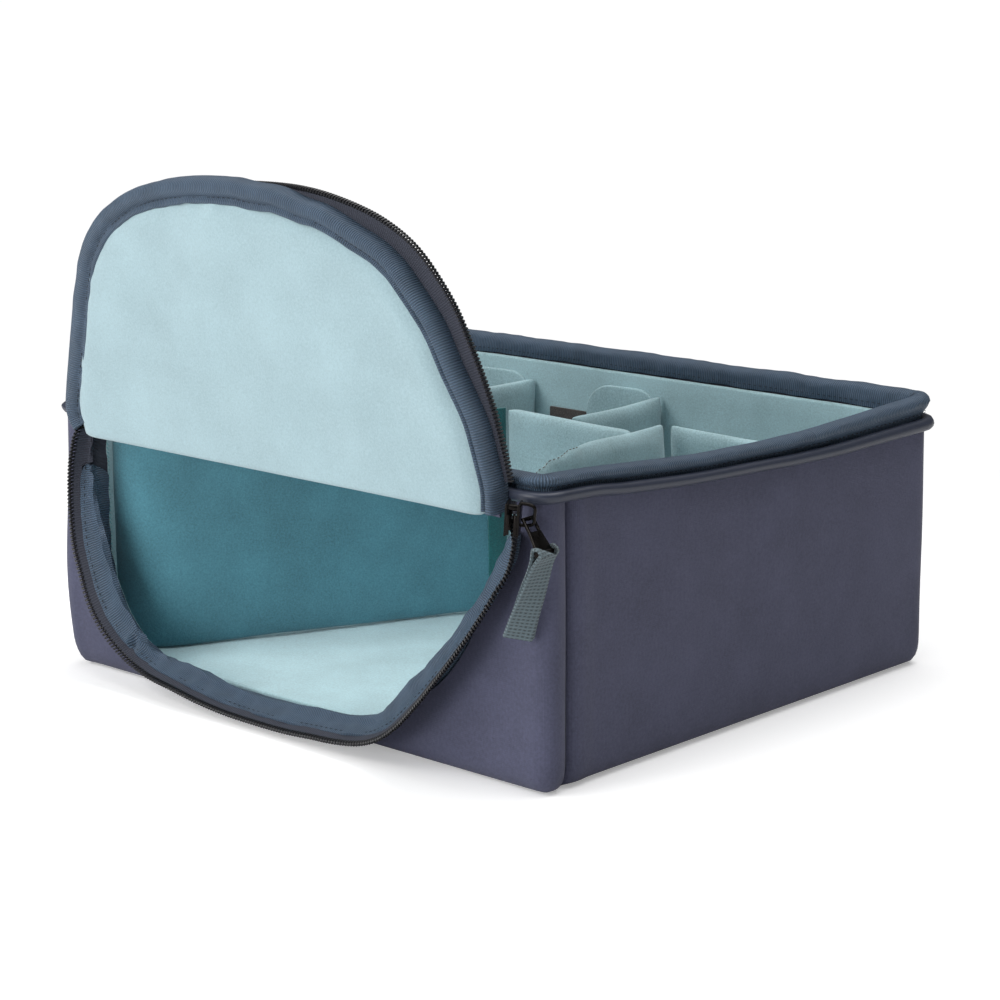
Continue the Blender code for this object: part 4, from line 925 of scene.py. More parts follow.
def build_rim(materials):
    """The grosgrain over the top edge, its stitches, the round piping under it, and the facing inside."""
    rise = RIM_TOP
    section = rounded([
        (-1.2 * MM, PIPING_LEVEL + 2.4 * MM), (-1.0 * MM, PIPING_LEVEL + 4.2 * MM), (1.4 * MM, rise - 5.2 * MM),
        (1.9 * MM, rise - 3.0 * MM), (0.6 * MM, rise - 0.9 * MM), (-2.2 * MM, rise), (-5.4 * MM, rise - 0.4 * MM),
        (-7.4 * MM, rise - 2.2 * MM), (-7.9 * MM, rise - 7.5 * MM), (-7.1 * MM, rise - 7.9 * MM),
        (-6.2 * MM, rise - 2.6 * MM), (-3.0 * MM, rise - 1.6 * MM), (-1.0 * MM, rise - 2.6 * MM),
        (-1.9 * MM, PIPING_LEVEL + 2.5 * MM),
    ], steps=3)

    def bound(u, point):
        place = RING.at(u)
        wave = ripple((place.x, place.y, point.y * 2), 19 * MM, 0.9 * MM, 3.0)
        wave += ripple((place.x, place.y, point.y * 4), 7 * MM, 0.5 * MM, 5.0)
        return on_rim(u, point.x + wave, point.y + 0.3 * wave)

    swept("rim_grosgrain", bound, section, 520, RING.length, materials["binding"], "shell",
          ("rim_binding",), "binding", loop=True)

    for name, offset, height, turn in (("rim_stitches_outside", 0.2 * MM, PIPING_LEVEL + 5.0 * MM, 1),
                                       ("rim_stitches_inside", -8.15 * MM, rise - 6.2 * MM, -1)):
        def row(share, offset=offset, height=height, turn=turn):
            normal = ring_station(RING, share)[1]
            along = Vector((-normal.y, normal.x, 0.0))
            return on_rim(share, offset, height), along, Vector((normal.x * turn, normal.y * turn, 0.0))

        stitches(name, row, RING.length, materials["thread"], "shell")

    def piped(u, point):
        place = RING.at(u)
        wave = ripple((place.x, place.y, 0.0), 45 * MM, 0.5 * MM, 7.0) + 0.3 * MM
        return on_rim(u, point.x + 1.5 * MM, PIPING_LEVEL + point.y + wave)

    swept("rim_piping_cord", piped, round_section(3.0 * MM, 14), 420, RING.length, materials["piping"], "shell",
          ("rim_piping",), "piping", loop=True)

    outer, inner = -6.0 * MM, -6.4 * MM
    low, top = rise - 22 * MM, rise - 4 * MM
    facing = rounded([(outer, low), (outer, top), (inner, top), (inner, low)], steps=1)
    swept("rim_facing", lambda u, point: on_rim(u, point.x, point.y), facing, 160, RING.length,
          materials["tape"], "shell", (), "liner", loop=True)


def build_linings(materials):
    """The padded walls and floor inside, and the lining round the door's hole."""
    puff, tuck = sizes().puff * 0.5, 2 * MM
    near_y, far_y = -INSIDE_Y - tuck, INSIDE_Y + tuck
    for name, low, high, back in (("right", (INSIDE_X - puff, near_y), (INSIDE_X + tuck, far_y), (1, 0, 0)),
                                  ("left", (-INSIDE_X - tuck, near_y), (puff - INSIDE_X, far_y), (-1, 0, 0)),
                                  ("far", (-INSIDE_X, INSIDE_Y - puff), (INSIDE_X, far_y), (0, 1, 0))):
        shape = soft_box((*low, FLOOR_TOP), (*high, LINER_TOP), 1.3 * MM, 9 * MM)
        soften(shape, back)
        wall = finish_piece(shape, name + "_wall_lining", materials["lining"], "shell", (name + "_liner_wall",),
                            "liner")

    low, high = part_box("floor_pad")
    shape = soft_box(low, high + Vector((0, 0, 0.2 * MM)), 1.1 * MM, 9 * MM)
    for vert in shape.verts:
        if vert.co.z > low.z + MM:
            vert.co.z += ripple(vert.co, 38 * MM, 0.35 * MM)
    floor = finish_piece(shape, "floor_lining", materials["lining"], "shell", ("floor_pad",), "liner")

    first = share_at_depth(14 * MM)

    def around(u, v):
        share = first + u * (1 - 2 * first)
        x, depth, normal_x, normal_down = door_station(share)
        span = read_length(HOLE_EDGE, share) + 1.4 * MM
        start = Vector((x + normal_x * span, -INSIDE_Y, HINGE.z - depth - normal_down * span))
        return settle(start.lerp(frame_lining_edge(x, depth, normal_x, normal_down), v))

    shape = skin(around, 120, 6, DOOR_LINE.length, 30 * MM, tube=False)
    piece = finish_piece(shape, "door_frame_lining", materials["lining"], "shell", ("door_frame_liner",), "liner")
    thicken(piece, 1.2 * MM)


def build_foam(materials):
    """The foam boards in the walls, which settle with the soft rim, and the one round the door's hole."""
    behind_cloth = 4.6 * MM
    for name in ("right", "left", "far"):
        low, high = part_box(name + "_foam_board")
        shape = soft_box(low, (high.x, high.y, high.z - 1.5 * MM), 0.8 * MM, 12 * MM, 2)
        outer_x, outer_y = BODY_HALF_X - behind_cloth, BODY_HALF_Y - behind_cloth
        for vert in shape.verts:
            vert.co.x = min(max(vert.co.x, -outer_x), outer_x)
            vert.co.y = min(max(vert.co.y, -outer_y), outer_y)
            vert.co = settle(vert.co)
        finish_piece(shape, name + "_wall_foam", materials["foam"], "shell", (name + "_foam_board",), "foam")

    low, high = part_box("right_door_frame_board")
    first = share_at_depth(14 * MM)
    section = rounded([(0.0, low.y + 0.4 * MM), (1.0, low.y + 0.4 * MM), (1.0, high.y), (0.0, high.y)], steps=2)

    def ringed(u, point):
        share = first + u * (1 - 2 * first)
        x, depth, normal_x, normal_down = door_station(share)
        span = read_length(HOLE_EDGE, share) + 2.2 * MM
        start = Vector((x + normal_x * span, HINGE.z - depth - normal_down * span))
        edge = frame_lining_edge(x, depth, normal_x, normal_down)
        end = Vector((edge.x, max(edge.z, low.z)))
        spot = start.lerp(end, point.x) if (end - start).dot(Vector((normal_x, -normal_down))) > 0 else start
        return settle(Vector((spot.x, point.y, spot.y)))

    swept("door_frame_foam", ringed, section, 140, DOOR_LINE.length, materials["foam"], "shell",
          ("right_door_frame_board", "left_door_frame_board"), "foam")


def frame_lining_edge(x, depth, normal_x, normal_down):
    """The outer edge of the lining round the door's hole, on the walls and floor inside the end."""
    start = Vector((x, HINGE.z - depth))
    step = Vector((normal_x, -normal_down))
    reach = 200 * MM
    if abs(step.x) > 0.001:
        reach = min(reach, (INSIDE_X - abs(start.x)) / abs(step.x))
    if step.y < -0.001:
        reach = min(reach, (start.y - FLOOR_TOP) / -step.y)
    edge = start + step * max(reach, -8 * MM)
    return Vector((edge.x, -INSIDE_Y, max(edge.y, FLOOR_TOP)))


def soften(shape, back):
    """Lets the open face of a wall pad swell gently and unevenly; its back stays flat."""
    for vert in shape.verts:
        inward = -Vector(back)
        vert.normal_update()
        facing = vert.normal.dot(inward)
        if facing > 0.3:
            vert.co += inward * ripple(vert.co, 42 * MM, 0.7 * MM) * facing
        vert.co = settle(vert.co)


# Door and its frame

def door_outline_points(inset, count=110):
    """The raised door's outline moved in by an inset, closed along the hem under the hinge."""
    outline = []
    for step in range(count + 1):
        x, reach, normal_x, normal_down = flap_station(step / count)
        inward = inset + read_length(DOOR_TAPE, step / count)
        outline.append((x - normal_x * inward, max(reach - normal_down * inward, -DOOR_HEM)))
    return [(outline[0][0], -DOOR_HEM)] + outline + [(outline[-1][0], -DOOR_HEM)]


def build_door(materials):
    """The door: padded lining, outer cloth, grosgrain round the edge, tape, coil and stitches."""
    shape = plate(door_outline_points(4 * MM), 0.0, 7.0 * MM)
    pad = finish_piece(shape, "door_pad", materials["door_lining"], "door", ("door_lining", "door_foam"), "liner")
    swell(pad, 1.2 * MM, 3.6 * MM)
    seated, proud, dip, hem_drop = 3.9 * MM, 1.1 * MM, 2.9 * MM, 1.2 * MM
    for vert in pad.data.vertices:
        x, reach = vert.co.x, vert.co.z
        out = seated - vert.co.y
        inside = edge_distance(x, reach)
        front = smoothstep(out / (3 * MM))
        sunk = (1 - smoothstep((inside - 4 * MM) / (11 * MM))) * dip
        hem = smoothstep((reach + DOOR_HEM) / (24 * MM))
        dent = ripple((x, 0.0, reach), 34 * MM, 0.9 * MM, 1.0) * smoothstep(inside / (16 * MM)) * hem
        crease = ripple((x, 0.0, reach), 9 * MM, 0.5 * MM, 4.0) * (1 - smoothstep(inside / (22 * MM)))
        crease *= smoothstep((inside - 6 * MM) / (8 * MM)) * hem
        fold = hem_drop * (1 - smoothstep((reach + DOOR_HEM) / (14 * MM)))
        vert.co = on_door(x, reach, out + front * (dent + crease + proud - sunk) + fold)
    subdivide(pad)

    cells = ((-DOOR_HALF_WIDTH, 0.0, -DOOR_HEM), (DOOR_HALF_WIDTH, 0.0, DOOR_REACH), 9 * MM, (0, 2))
    shape = plate(door_outline_points(5 * MM), 0.0, 1.2 * MM, cells)
    back = -3.3 * MM
    for vert in shape.verts:
        bulge = smoothstep((edge_distance(vert.co.x, vert.co.z) - 2 * MM) / (10 * MM)) * 0.9 * MM
        uneven = ripple((vert.co.x, 1.0, vert.co.z), 40 * MM, 0.5 * MM)
        vert.co = on_door(vert.co.x, vert.co.z, back - vert.co.y - bulge + uneven)
    finish_piece(shape, "door_outer_cloth", materials["shell"], "door", ("door_outer_panel",), "shell")

    # Shares of the binding's width, and levels: a half-round roll, a sewn crease, and the tape's flat edge
    section = rounded([
        (-1.0, 4.6 * MM), (-0.92, 5.3 * MM), (-0.8, 5.0 * MM), (-0.7, 4.1 * MM), (-0.6, 5.2 * MM),
        (-0.4, 6.2 * MM), (-0.16, 5.9 * MM), (0.02, 4.0 * MM), (0.08, 1.4 * MM), (0.08, -1.4 * MM),
        (0.02, -3.8 * MM), (-0.14, -5.0 * MM), (-0.4, -5.3 * MM), (-0.75, -5.1 * MM), (-1.0, -4.4 * MM),
        (-0.94, -3.6 * MM), (-0.22, -3.4 * MM), (-0.22, 3.0 * MM), (-0.66, 3.2 * MM), (-0.94, 3.9 * MM),
    ], steps=3)

    def edged(u, point):
        front, behind = read_rows(DOOR_BINDING, u)
        run = u * FLAP_LINE.length
        lap = front if point.y > 0 else behind
        inner = smoothstep(-point.x)
        pucker = ripple((run, point.x * 8 * MM, 0.0), 8 * MM, 0.7 * MM, 5.0)
        pucker += ripple((run, point.x * 4 * MM, 0.0), 26 * MM, 0.9 * MM, 11.0)
        offset = point.x * lap + pucker * (0.25 + 0.75 * inner) - read_length(DOOR_TAPE, u)
        return on_flap(u, offset, point.y + math.copysign(0.8, point.y) * pucker * (0.35 + 0.65 * inner))

    shape = skin(lambda u, v: edged(u, section.at(v)), 620, len(section.points) - 1, FLAP_LINE.length, 44 * MM)
    finish_piece(shape, "door_grosgrain", materials["binding"], "door", ("door_binding",), "binding", 50)

    def seam(share):
        x, reach, normal_x, normal_down = flap_station(share)
        offset = -0.7 * read_rows(DOOR_BINDING, share).x - read_length(DOOR_TAPE, share)
        out = 4.4 * MM
        x += normal_x * offset
        reach += normal_down * offset
        point = on_door(x, reach, out)
        nearby = on_door(x - normal_down * MM, reach + normal_x * MM, out)
        return point, (nearby - point).normalized(), Matrix.Rotation(DOOR_LEAN, 3, "X") @ Vector((0, -1, 0))

    stitches("door_stitches", seam, FLAP_LINE.length, materials["thread"], "door")
    build_door_zip(materials)


TAPE_HALF = 0.35 * MM


def build_door_zip(materials):
    """The door's half of the zip: its tape folds straight back behind the binding, with the coil on its edge."""
    start, finish = 0.03, 0.97

    def folded(share):
        """Where the coil runs: in from the door's edge, and back from its middle."""
        shown = smoothstep(read_length(DOOR_TAPE, share) / (5 * MM))
        return Vector((-3.4 * MM + 1.6 * MM * shown, -8.4 * MM + 5.2 * MM * shown))

    def tape_place(u, point):
        share = start + u * (finish - start)
        edge = folded(share)
        root = Vector((-1.2 * MM - read_length(DOOR_TAPE, share), -2.0 * MM))
        slope = (edge - root).normalized()
        raised = point.y + ripple((share * FLAP_LINE.length, 0, 0), 20 * MM, 0.3 * MM)
        return on_flap(share, *(root.lerp(edge, point.x) + Vector((-slope.y, slope.x)) * raised))

    tape = flat_section(TAPE_HALF)
    shape = skin(lambda u, v: tape_place(u, tape.at(v)), 300, 8, FLAP_LINE.length, 16 * MM)
    finish_piece(shape, "door_zip_tape", materials["tape"], "door", ("door_zipper_tape",), "tape", 30)

    def centre(share):
        here = start + share * (finish - start)
        normal_x, normal_down = flap_station(here)[2:]
        lean = Matrix.Rotation(DOOR_LEAN, 3, "X")
        return on_flap(here, *folded(here)), lean @ Vector((0, 1, 0)), lean @ Vector((normal_x, 0, normal_down))

    coil("door_coil", centre, FLAP_LINE.length, materials["coil"], "door", ("door_zipper_teeth",))


LEFT_END_DEPTH = 23 * MM


def edge_distance(x, reach):
    """Roughly how far a point of the door lies inside its edge line, the hinge side left out."""
    spot = Vector((x, reach))
    return min((spot - point).length - tape for point, tape in FLAP_SAMPLES)


def lip_curve(share):
    """The lip's middle line in one section, from inside the wall, over the hole's edge, to the coil at its end."""
    coil_at = read_rows(LIP_COIL, share)
    crest = read_rows(LIP_CREST, share)
    edge = read_length(HOLE_EDGE, share)
    turned_in = 0.6 * MM
    reveal = Vector((edge, -(BODY_HALF_Y - INSIDE_Y) - turned_in))
    corner = Vector((edge + 0.1 * MM, -turned_in))
    dip = crest.lerp(coil_at, 0.42)
    dip.y = max(dip.y - 2.6 * MM, 1.6 * MM)
    return rounded([reveal, corner, crest, dip, coil_at], closed=False, steps=8), coil_at


def build_frame_lip(materials):
    """The door's frame: grosgrain over the hole's edge, the flared zip tape, its coil and the stitches."""
    first = share_at_depth(HINGE.z - LIP_TOP)
    last = 1 - share_at_depth(LEFT_END_DEPTH)
    half = 0.9 * MM
    tape_run = 4.6 * MM
    off_face = 0.6 * MM
    curves = {}

    def curve_at(share):
        key = round(share, 6)
        if key not in curves:
            curves[key] = lip_curve(key)
        return curves[key]

    def along_lip(share, run, thick):
        """A place on the lip, at a distance along its section, raised off its middle line."""
        curve = curve_at(share)[0]
        part = run / curve.length
        nudge = 0.02
        slope = (curve.at(part + nudge) - curve.at(part - nudge)).normalized()
        return curve.at(part) + Vector((-slope.y, slope.x)) * thick

    def bound(u, point):
        share = first + u * (last - first)
        curve = curve_at(share)[0]
        run = point.x * (curve.length - tape_run)
        wave = ripple((share * DOOR_LINE.length, run, 0.0), 9 * MM, 0.8 * MM, 9.0)
        wave += ripple((share * DOOR_LINE.length, run, 0.0), 24 * MM, 0.9 * MM, 13.0)
        # A fold in the cloth at the lower left of the hole
        tucked = (share - 0.735) * DOOR_LINE.length / (5 * MM)
        wave += 1.3 * MM * math.exp(-tucked * tucked) * math.sin(2.4 * tucked + run / (2.5 * MM))
        free = smoothstep((run - 9 * MM) / (6 * MM))
        # The binding's end is drawn in and flattened
        end = min(max(1 - (1 - u) * DOOR_LINE.length / (9 * MM), 0.0), 1.0)
        middle = 0.72 * curve.length
        run = middle + (run - middle) * math.sqrt(max(1 - end * end, 0.02))
        spot = along_lip(share, run, (point.y + wave * free) * (1 - 0.5 * end * end))
        return keep_up(on_frame(share, spot.x, spot.y if run < 11 * MM else max(spot.y, off_face)))

    section = rounded([(0.0, -half), (0.03, -half), (0.3, -half), (0.6, -half), (0.985, -half), (1.0, 0.0),
                       (0.985, half), (0.6, half), (0.3, half), (0.03, half)], steps=4)
    shape = skin(lambda u, v: bound(u, section.at(v)), 560, 40, DOOR_LINE.length, 60 * MM)
    finish_piece(shape, "frame_grosgrain", materials["binding"], "shell", ("frame_binding",), "binding", 50)

    top = share_at_depth(3 * MM)

    def taped(u, point):
        share = top + u * (1 - 2 * top)
        curve = curve_at(share)[0]
        low = curve.length - tape_run - 1.4 * MM
        if share > last:
            low = curve.length * (0.5 - 0.1 * smoothstep((share - last) / (1 - last)))
        run = low + point.x * (curve.length - 0.9 * MM - low)
        wave = ripple((share * DOOR_LINE.length, run, 0.0), 14 * MM, 0.5 * MM, 2.0)
        spot = along_lip(share, run, point.y + wave * (1 - point.x))
        return keep_up(on_frame(share, spot.x, spot.y))

    tape = flat_section(TAPE_HALF)
    shape = skin(lambda u, v: taped(u, tape.at(v)), 360, 14, DOOR_LINE.length, 20 * MM)
    finish_piece(shape, "frame_zip_tape", materials["tape"], "shell", ("frame_zipper_tape",), "tape", 30)

    begin = share_at_depth(2 * MM)

    def centre(share):
        here = begin + share * (1 - 2 * begin)
        curve, coil_at = curve_at(here)
        slope = (coil_at - curve.at(0.93)).normalized()
        x, depth, normal_x, normal_down = door_station(here)
        outward = Vector((normal_x * slope.x, -slope.y, -normal_down * slope.x)).normalized()
        across = Vector((normal_x * slope.y, slope.x, -normal_down * slope.y)).normalized()
        return keep_up(on_frame(here, coil_at.x, coil_at.y), 2.1 * MM), outward, across

    coil("frame_coil", centre, DOOR_LINE.length, materials["coil"], "shell", ("frame_zipper_teeth",))

    def seam(share):
        here = first + share * (last - first)
        curve = curve_at(here)[0]
        run = curve.length - tape_run - 2.2 * MM
        spot, raised = along_lip(here, run, 0.9 * MM), along_lip(here, run, 1.9 * MM)
        point = keep_up(on_frame(here, spot.x, max(spot.y, off_face)))
        normal = (on_frame(here, raised.x, raised.y) - on_frame(here, spot.x, spot.y)).normalized()
        near = here + 0.002
        ahead = along_lip(near, curve_at(near)[0].length - tape_run - 2.2 * MM, 0.9 * MM)
        along = (on_frame(near, ahead.x, ahead.y) - on_frame(here, spot.x, spot.y)).normalized()
        return point, along, normal

    stitches("frame_stitches", seam, DOOR_LINE.length * (last - first), materials["thread"], "shell")
    build_side_cloth(materials)
    build_end_stop(materials, centre)
    build_hinge(materials)


def build_side_cloth(materials):
    """The navy cloth at the left of the hole, between the end of the grosgrain and the hinge."""
    low_share, high_share = 1 - share_at_depth(LEFT_END_DEPTH) - 0.03, 0.999

    def hung(u, v):
        share = low_share + u * (high_share - low_share)
        above = smoothstep(u * 2.5)
        edge = read_length(HOLE_EDGE, share) + 1.4 * MM * (1 - above)
        crumple = ripple((share * DOOR_LINE.length, v * 12 * MM, 0.0), 7 * MM, 0.8 * MM, 23.0) * above
        forward = -(BODY_HALF_Y - INSIDE_Y) - 0.2 * MM + v * (11 + 2 * above) * MM
        return on_frame(share, edge + crumple + 2.4 * MM * smoothstep(v - 0.3), forward)

    shape = skin(hung, 60, 14, 60 * MM, 14 * MM, tube=False)
    bmesh.ops.solidify(shape, geom=shape.faces[:], thickness=0.7 * MM)
    bmesh.ops.recalc_face_normals(shape, faces=shape.faces)
    finish_piece(shape, "frame_side_cloth", materials["tape"], "shell", (), "tape")


def build_end_stop(materials, centre):
    """The pressed metal stop at the left end of the frame's coil."""
    point, outward, across = centre(0.998)
    along = outward.cross(across).normalized()
    turn = Matrix((outward, across, along)).transposed().to_4x4()
    size = Vector((4.2, 3.4, 3.6)) * MM
    shape = box_shape(size)
    round_edges(shape, shape.edges[:], 0.8 * MM, 3)
    divide(shape, -size / 2, size / 2, 0.59 * MM)
    for vert in shape.verts:
        vert.co.y *= 1 - 0.25 * math.exp(-((vert.co.x / (0.8 * MM)) ** 2))
    bmesh.ops.transform(shape, matrix=Matrix.Translation(point) @ turn, verts=shape.verts)
    finish_piece(shape, "coil_end_stop", materials["metal"], "shell", ("zipper_end_stop",), "metal", 35)


def build_hinge(materials):
    """The cloth that the door hangs from: a navy strip over the hole, and the crumpled lining turned under it."""
    low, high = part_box("hinge_cloth")
    along_x = high.x - low.x
    lift = 5 * MM
    path = rounded([(low.y + 4 * MM, high.z + lift), (low.y - 0.2 * MM, high.z + 0.9 * lift),
                    (HINGE.y + 4.4 * MM, HINGE.z - 4 * MM), (HINGE.y + 3.6 * MM, HINGE.z + 8 * MM)], closed=False)

    def hinge(u, v):
        return Vector((low.x + u * along_x, *path.at(v)))

    shape = skin(hinge, 60, 12, along_x, 20 * MM, tube=False)
    bmesh.ops.solidify(shape, geom=shape.faces[:], thickness=0.8 * MM)
    bmesh.ops.recalc_face_normals(shape, faces=shape.faces)
    # The hinge cloth bends between two bodies, so it rides on neither
    piece = finish_piece(shape, "hinge_fold", materials["binding"], None, sharp=180)
    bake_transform(piece)
    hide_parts("hinge_cloth")

    # A round welt of the lining under the door's hem hides the frame's top
    width = 2 * DOOR_HALF_WIDTH - 12 * MM

    def welt(u, point):
        x = (u - 0.5) * width
        ends = min(u, 1 - u) * width
        size = 0.35 + 0.65 * smoothstep(ends / (6 * MM))
        wave = ripple((x, point.x, 0.0), 60 * MM, 0.5 * MM, 17.0)
        level = WELT_LEVEL + 2.6 * MM * smoothstep((-x - 70 * MM) / (55 * MM))
        return Vector((x, WELT_Y + (point.x + wave) * size, level + (point.y * 1.15 + wave) * size))

    swept("hinge_welt", welt, round_section(2.6 * MM, 16), 220, width, materials["door_lining"], "shell", (),
          "liner")


def keep_up(point, clearance=0.5 * MM):
    """Keeps cloth that lies on the ground from sinking into it."""
    point.z = max(point.z, clearance)
    return point


# Zip slider and pull

PULL_TWIST = math.radians(-30)


def slider_axes():
    """The slider's place and axes: across the coil, out of the bag and up the track. Its pull hangs twisted."""
    pull = joint_of("pull_swing")
    up = -Vector(joint_of("slider_travel")["axis"]).normalized()
    across = (Matrix.Rotation(-PULL_TWIST, 3, up) @ Vector(pull["axis"])).normalized()
    outward = up.cross(across).normalized()
    stand_off, rise = 5.9 * MM, 0.4 * MM
    centre = Vector(pull["pos_m"]) - outward * stand_off - up * rise
    turn = Matrix((across, outward, up)).transposed().to_4x4()
    return Matrix.Translation(centre) @ turn


def build_slider(materials):
    """The slider's two plates and post, its bridge, the metal pull, and the webbing loop."""
    to_slider = slider_axes()
    shape = bmesh.new()
    plate_gap, thickness = 1.9 * MM, 1.1 * MM
    plate_width, plate_height, off_centre, foot_share = 8.6 * MM, 13.5 * MM, 0.4 * MM, 0.72
    rail_size, rail_apart, rail_out, rail_down = (0.9 * MM, 1.5 * MM, 8.5 * MM), 3.3 * MM, 1.6 * MM, 1.8 * MM
    post_radius, post_side, post_up = 1.3 * MM, 2.6 * MM, 5.2 * MM
    for side in (1, -1):
        made = bmesh.ops.create_cube(shape, size=1.0)["verts"]
        bmesh.ops.scale(shape, vec=(plate_width, thickness, plate_height), verts=made)
        for vert in made:
            if vert.co.z < 0:
                vert.co.x *= foot_share
        bmesh.ops.translate(shape, vec=(off_centre, side * (plate_gap + thickness / 2), 0), verts=made)
        for flank in (1, -1):
            rail = bmesh.ops.create_cube(shape, size=1.0)["verts"]
            bmesh.ops.scale(shape, vec=rail_size, verts=rail)
            bmesh.ops.translate(shape, vec=(off_centre + flank * rail_apart, side * rail_out, -rail_down),
                                verts=rail)
    post = bmesh.ops.create_cone(shape, cap_ends=True, segments=20, radius1=post_radius, radius2=post_radius,
                                 depth=2 * plate_gap + thickness, matrix=Matrix.Rotation(math.pi / 2, 4, "X"))
    bmesh.ops.translate(shape, vec=(post_side, 0, post_up), verts=post["verts"])
    round_edges(shape, shape.edges[:], 0.28 * MM, 2)
    bmesh.ops.transform(shape, matrix=to_slider, verts=shape.verts)
    finish_piece(shape, "slider_plates", materials["metal"], "slider", ("slider_body",), "metal", 35)

    face = plate_gap + thickness
    crown = face + 5.2 * MM
    middle, leg = 2.0 * MM, 4.4 * MM
    arch = rounded([(0, face - 0.3 * MM, middle + leg), (0, face + 2.6 * MM, middle + leg),
                    (0, crown, middle + 0.75 * leg), (0, crown + 0.2 * MM, middle),
                    (0, crown, middle - 0.75 * leg), (0, face + 2.6 * MM, middle - leg), (0, face - 0.3 * MM, middle - leg)], closed=False, steps=6)
    shape = tube_along(arch, 0.95 * MM, 0.7 * MM, 40, 12)
    bmesh.ops.transform(shape, matrix=to_slider, verts=shape.verts)
    finish_piece(shape, "slider_arch", materials["metal"], "slider", ("slider_bridge",), "metal", 60)

    pull_axis = Vector(joint_of("pull_swing")["pos_m"])
    foot_axis = Vector(joint_of("webbing_swing")["pos_m"])
    across = Vector(joint_of("pull_swing")["axis"]).normalized()
    down = foot_axis - pull_axis
    length = down.length
    down.normalize()
    face_normal = down.cross(across).normalized()
    to_pull = Matrix.Translation(pull_axis) @ Matrix((across, face_normal, -down)).transposed().to_4x4()
    build_pull(materials, to_pull, length)
    build_webbing(materials, foot_axis, across)


def tube_along(line, half_width, half_height, along_count, sides):
    """A closed oval tube along a line that lies in a plane across X."""
    def place(u, v):
        nudge = 0.01
        along = (line.at(u + nudge) - line.at(u - nudge)).normalized()
        side = Vector((1, 0, 0))
        lift = side.cross(along).normalized()
        angle = 2 * math.pi * v
        return line.at(u) + side * (half_width * math.cos(angle)) + lift * (half_height * math.sin(angle))

    return skin(place, along_count, sides, line.length, half_width)


def build_pull(materials, to_pull, length):
    """The stamped metal pull: an eye round the bridge at the top and a bar through the webbing."""
    eye_half, rail, thickness = 2.5 * MM, 1.0 * MM, 1.3 * MM
    head = eye_half + rail
    eye_low = 5.6 * MM
    shape = bmesh.new()
    outer = [(-head, 0.9 * MM), (head, 0.9 * MM), (head, -eye_low), (head + 0.9 * MM, -length + 3.2 * MM),
             (head + 0.9 * MM, -length), (-head - 0.9 * MM, -length), (-head - 0.9 * MM, -length + 3.2 * MM),
             (-head, -eye_low)]
    inner = [(-eye_half, -0.7 * MM), (eye_half, -0.7 * MM), (eye_half, -eye_low), (-eye_half, -eye_low)]
    loops = []
    for outline in (outer, inner):
        verts = [shape.verts.new((x, -thickness / 2, z)) for x, z in outline]
        loops += [shape.edges.new((verts[i], verts[(i + 1) % len(verts)])) for i in range(len(verts))]
    bmesh.ops.triangle_fill(shape, use_beauty=True, use_dissolve=True, edges=loops)
    made = bmesh.ops.extrude_face_region(shape, geom=shape.faces[:])
    moved = [item for item in made["geom"] if isinstance(item, bmesh.types.BMVert)]
    bmesh.ops.translate(shape, vec=(0, thickness, 0), verts=moved)
    bmesh.ops.recalc_face_normals(shape, faces=shape.faces)
    bmesh.ops.dissolve_limit(shape, angle_limit=0.02, verts=shape.verts, edges=shape.edges)
    round_edges(shape, shape.edges[:], 0.3 * MM, 2)
    bar = bmesh.ops.create_cone(shape, cap_ends=True, segments=24, radius1=1.15 * MM, radius2=1.15 * MM,
                                depth=2 * head + 3.4 * MM, matrix=Matrix.Rotation(math.pi / 2, 4, "Y"))
    bmesh.ops.translate(shape, vec=(0, 0, -length), verts=bar["verts"])
    bmesh.ops.transform(shape, matrix=to_pull, verts=shape.verts)
    bmesh.ops.recalc_face_normals(shape, faces=shape.faces)
    finish_piece(shape, "metal_pull", materials["metal"], "pull", ("pull_tab",), "metal", 35)


WEBBING_TWIST = math.radians(42)
WEBBING_SPREAD = 0.8 * MM


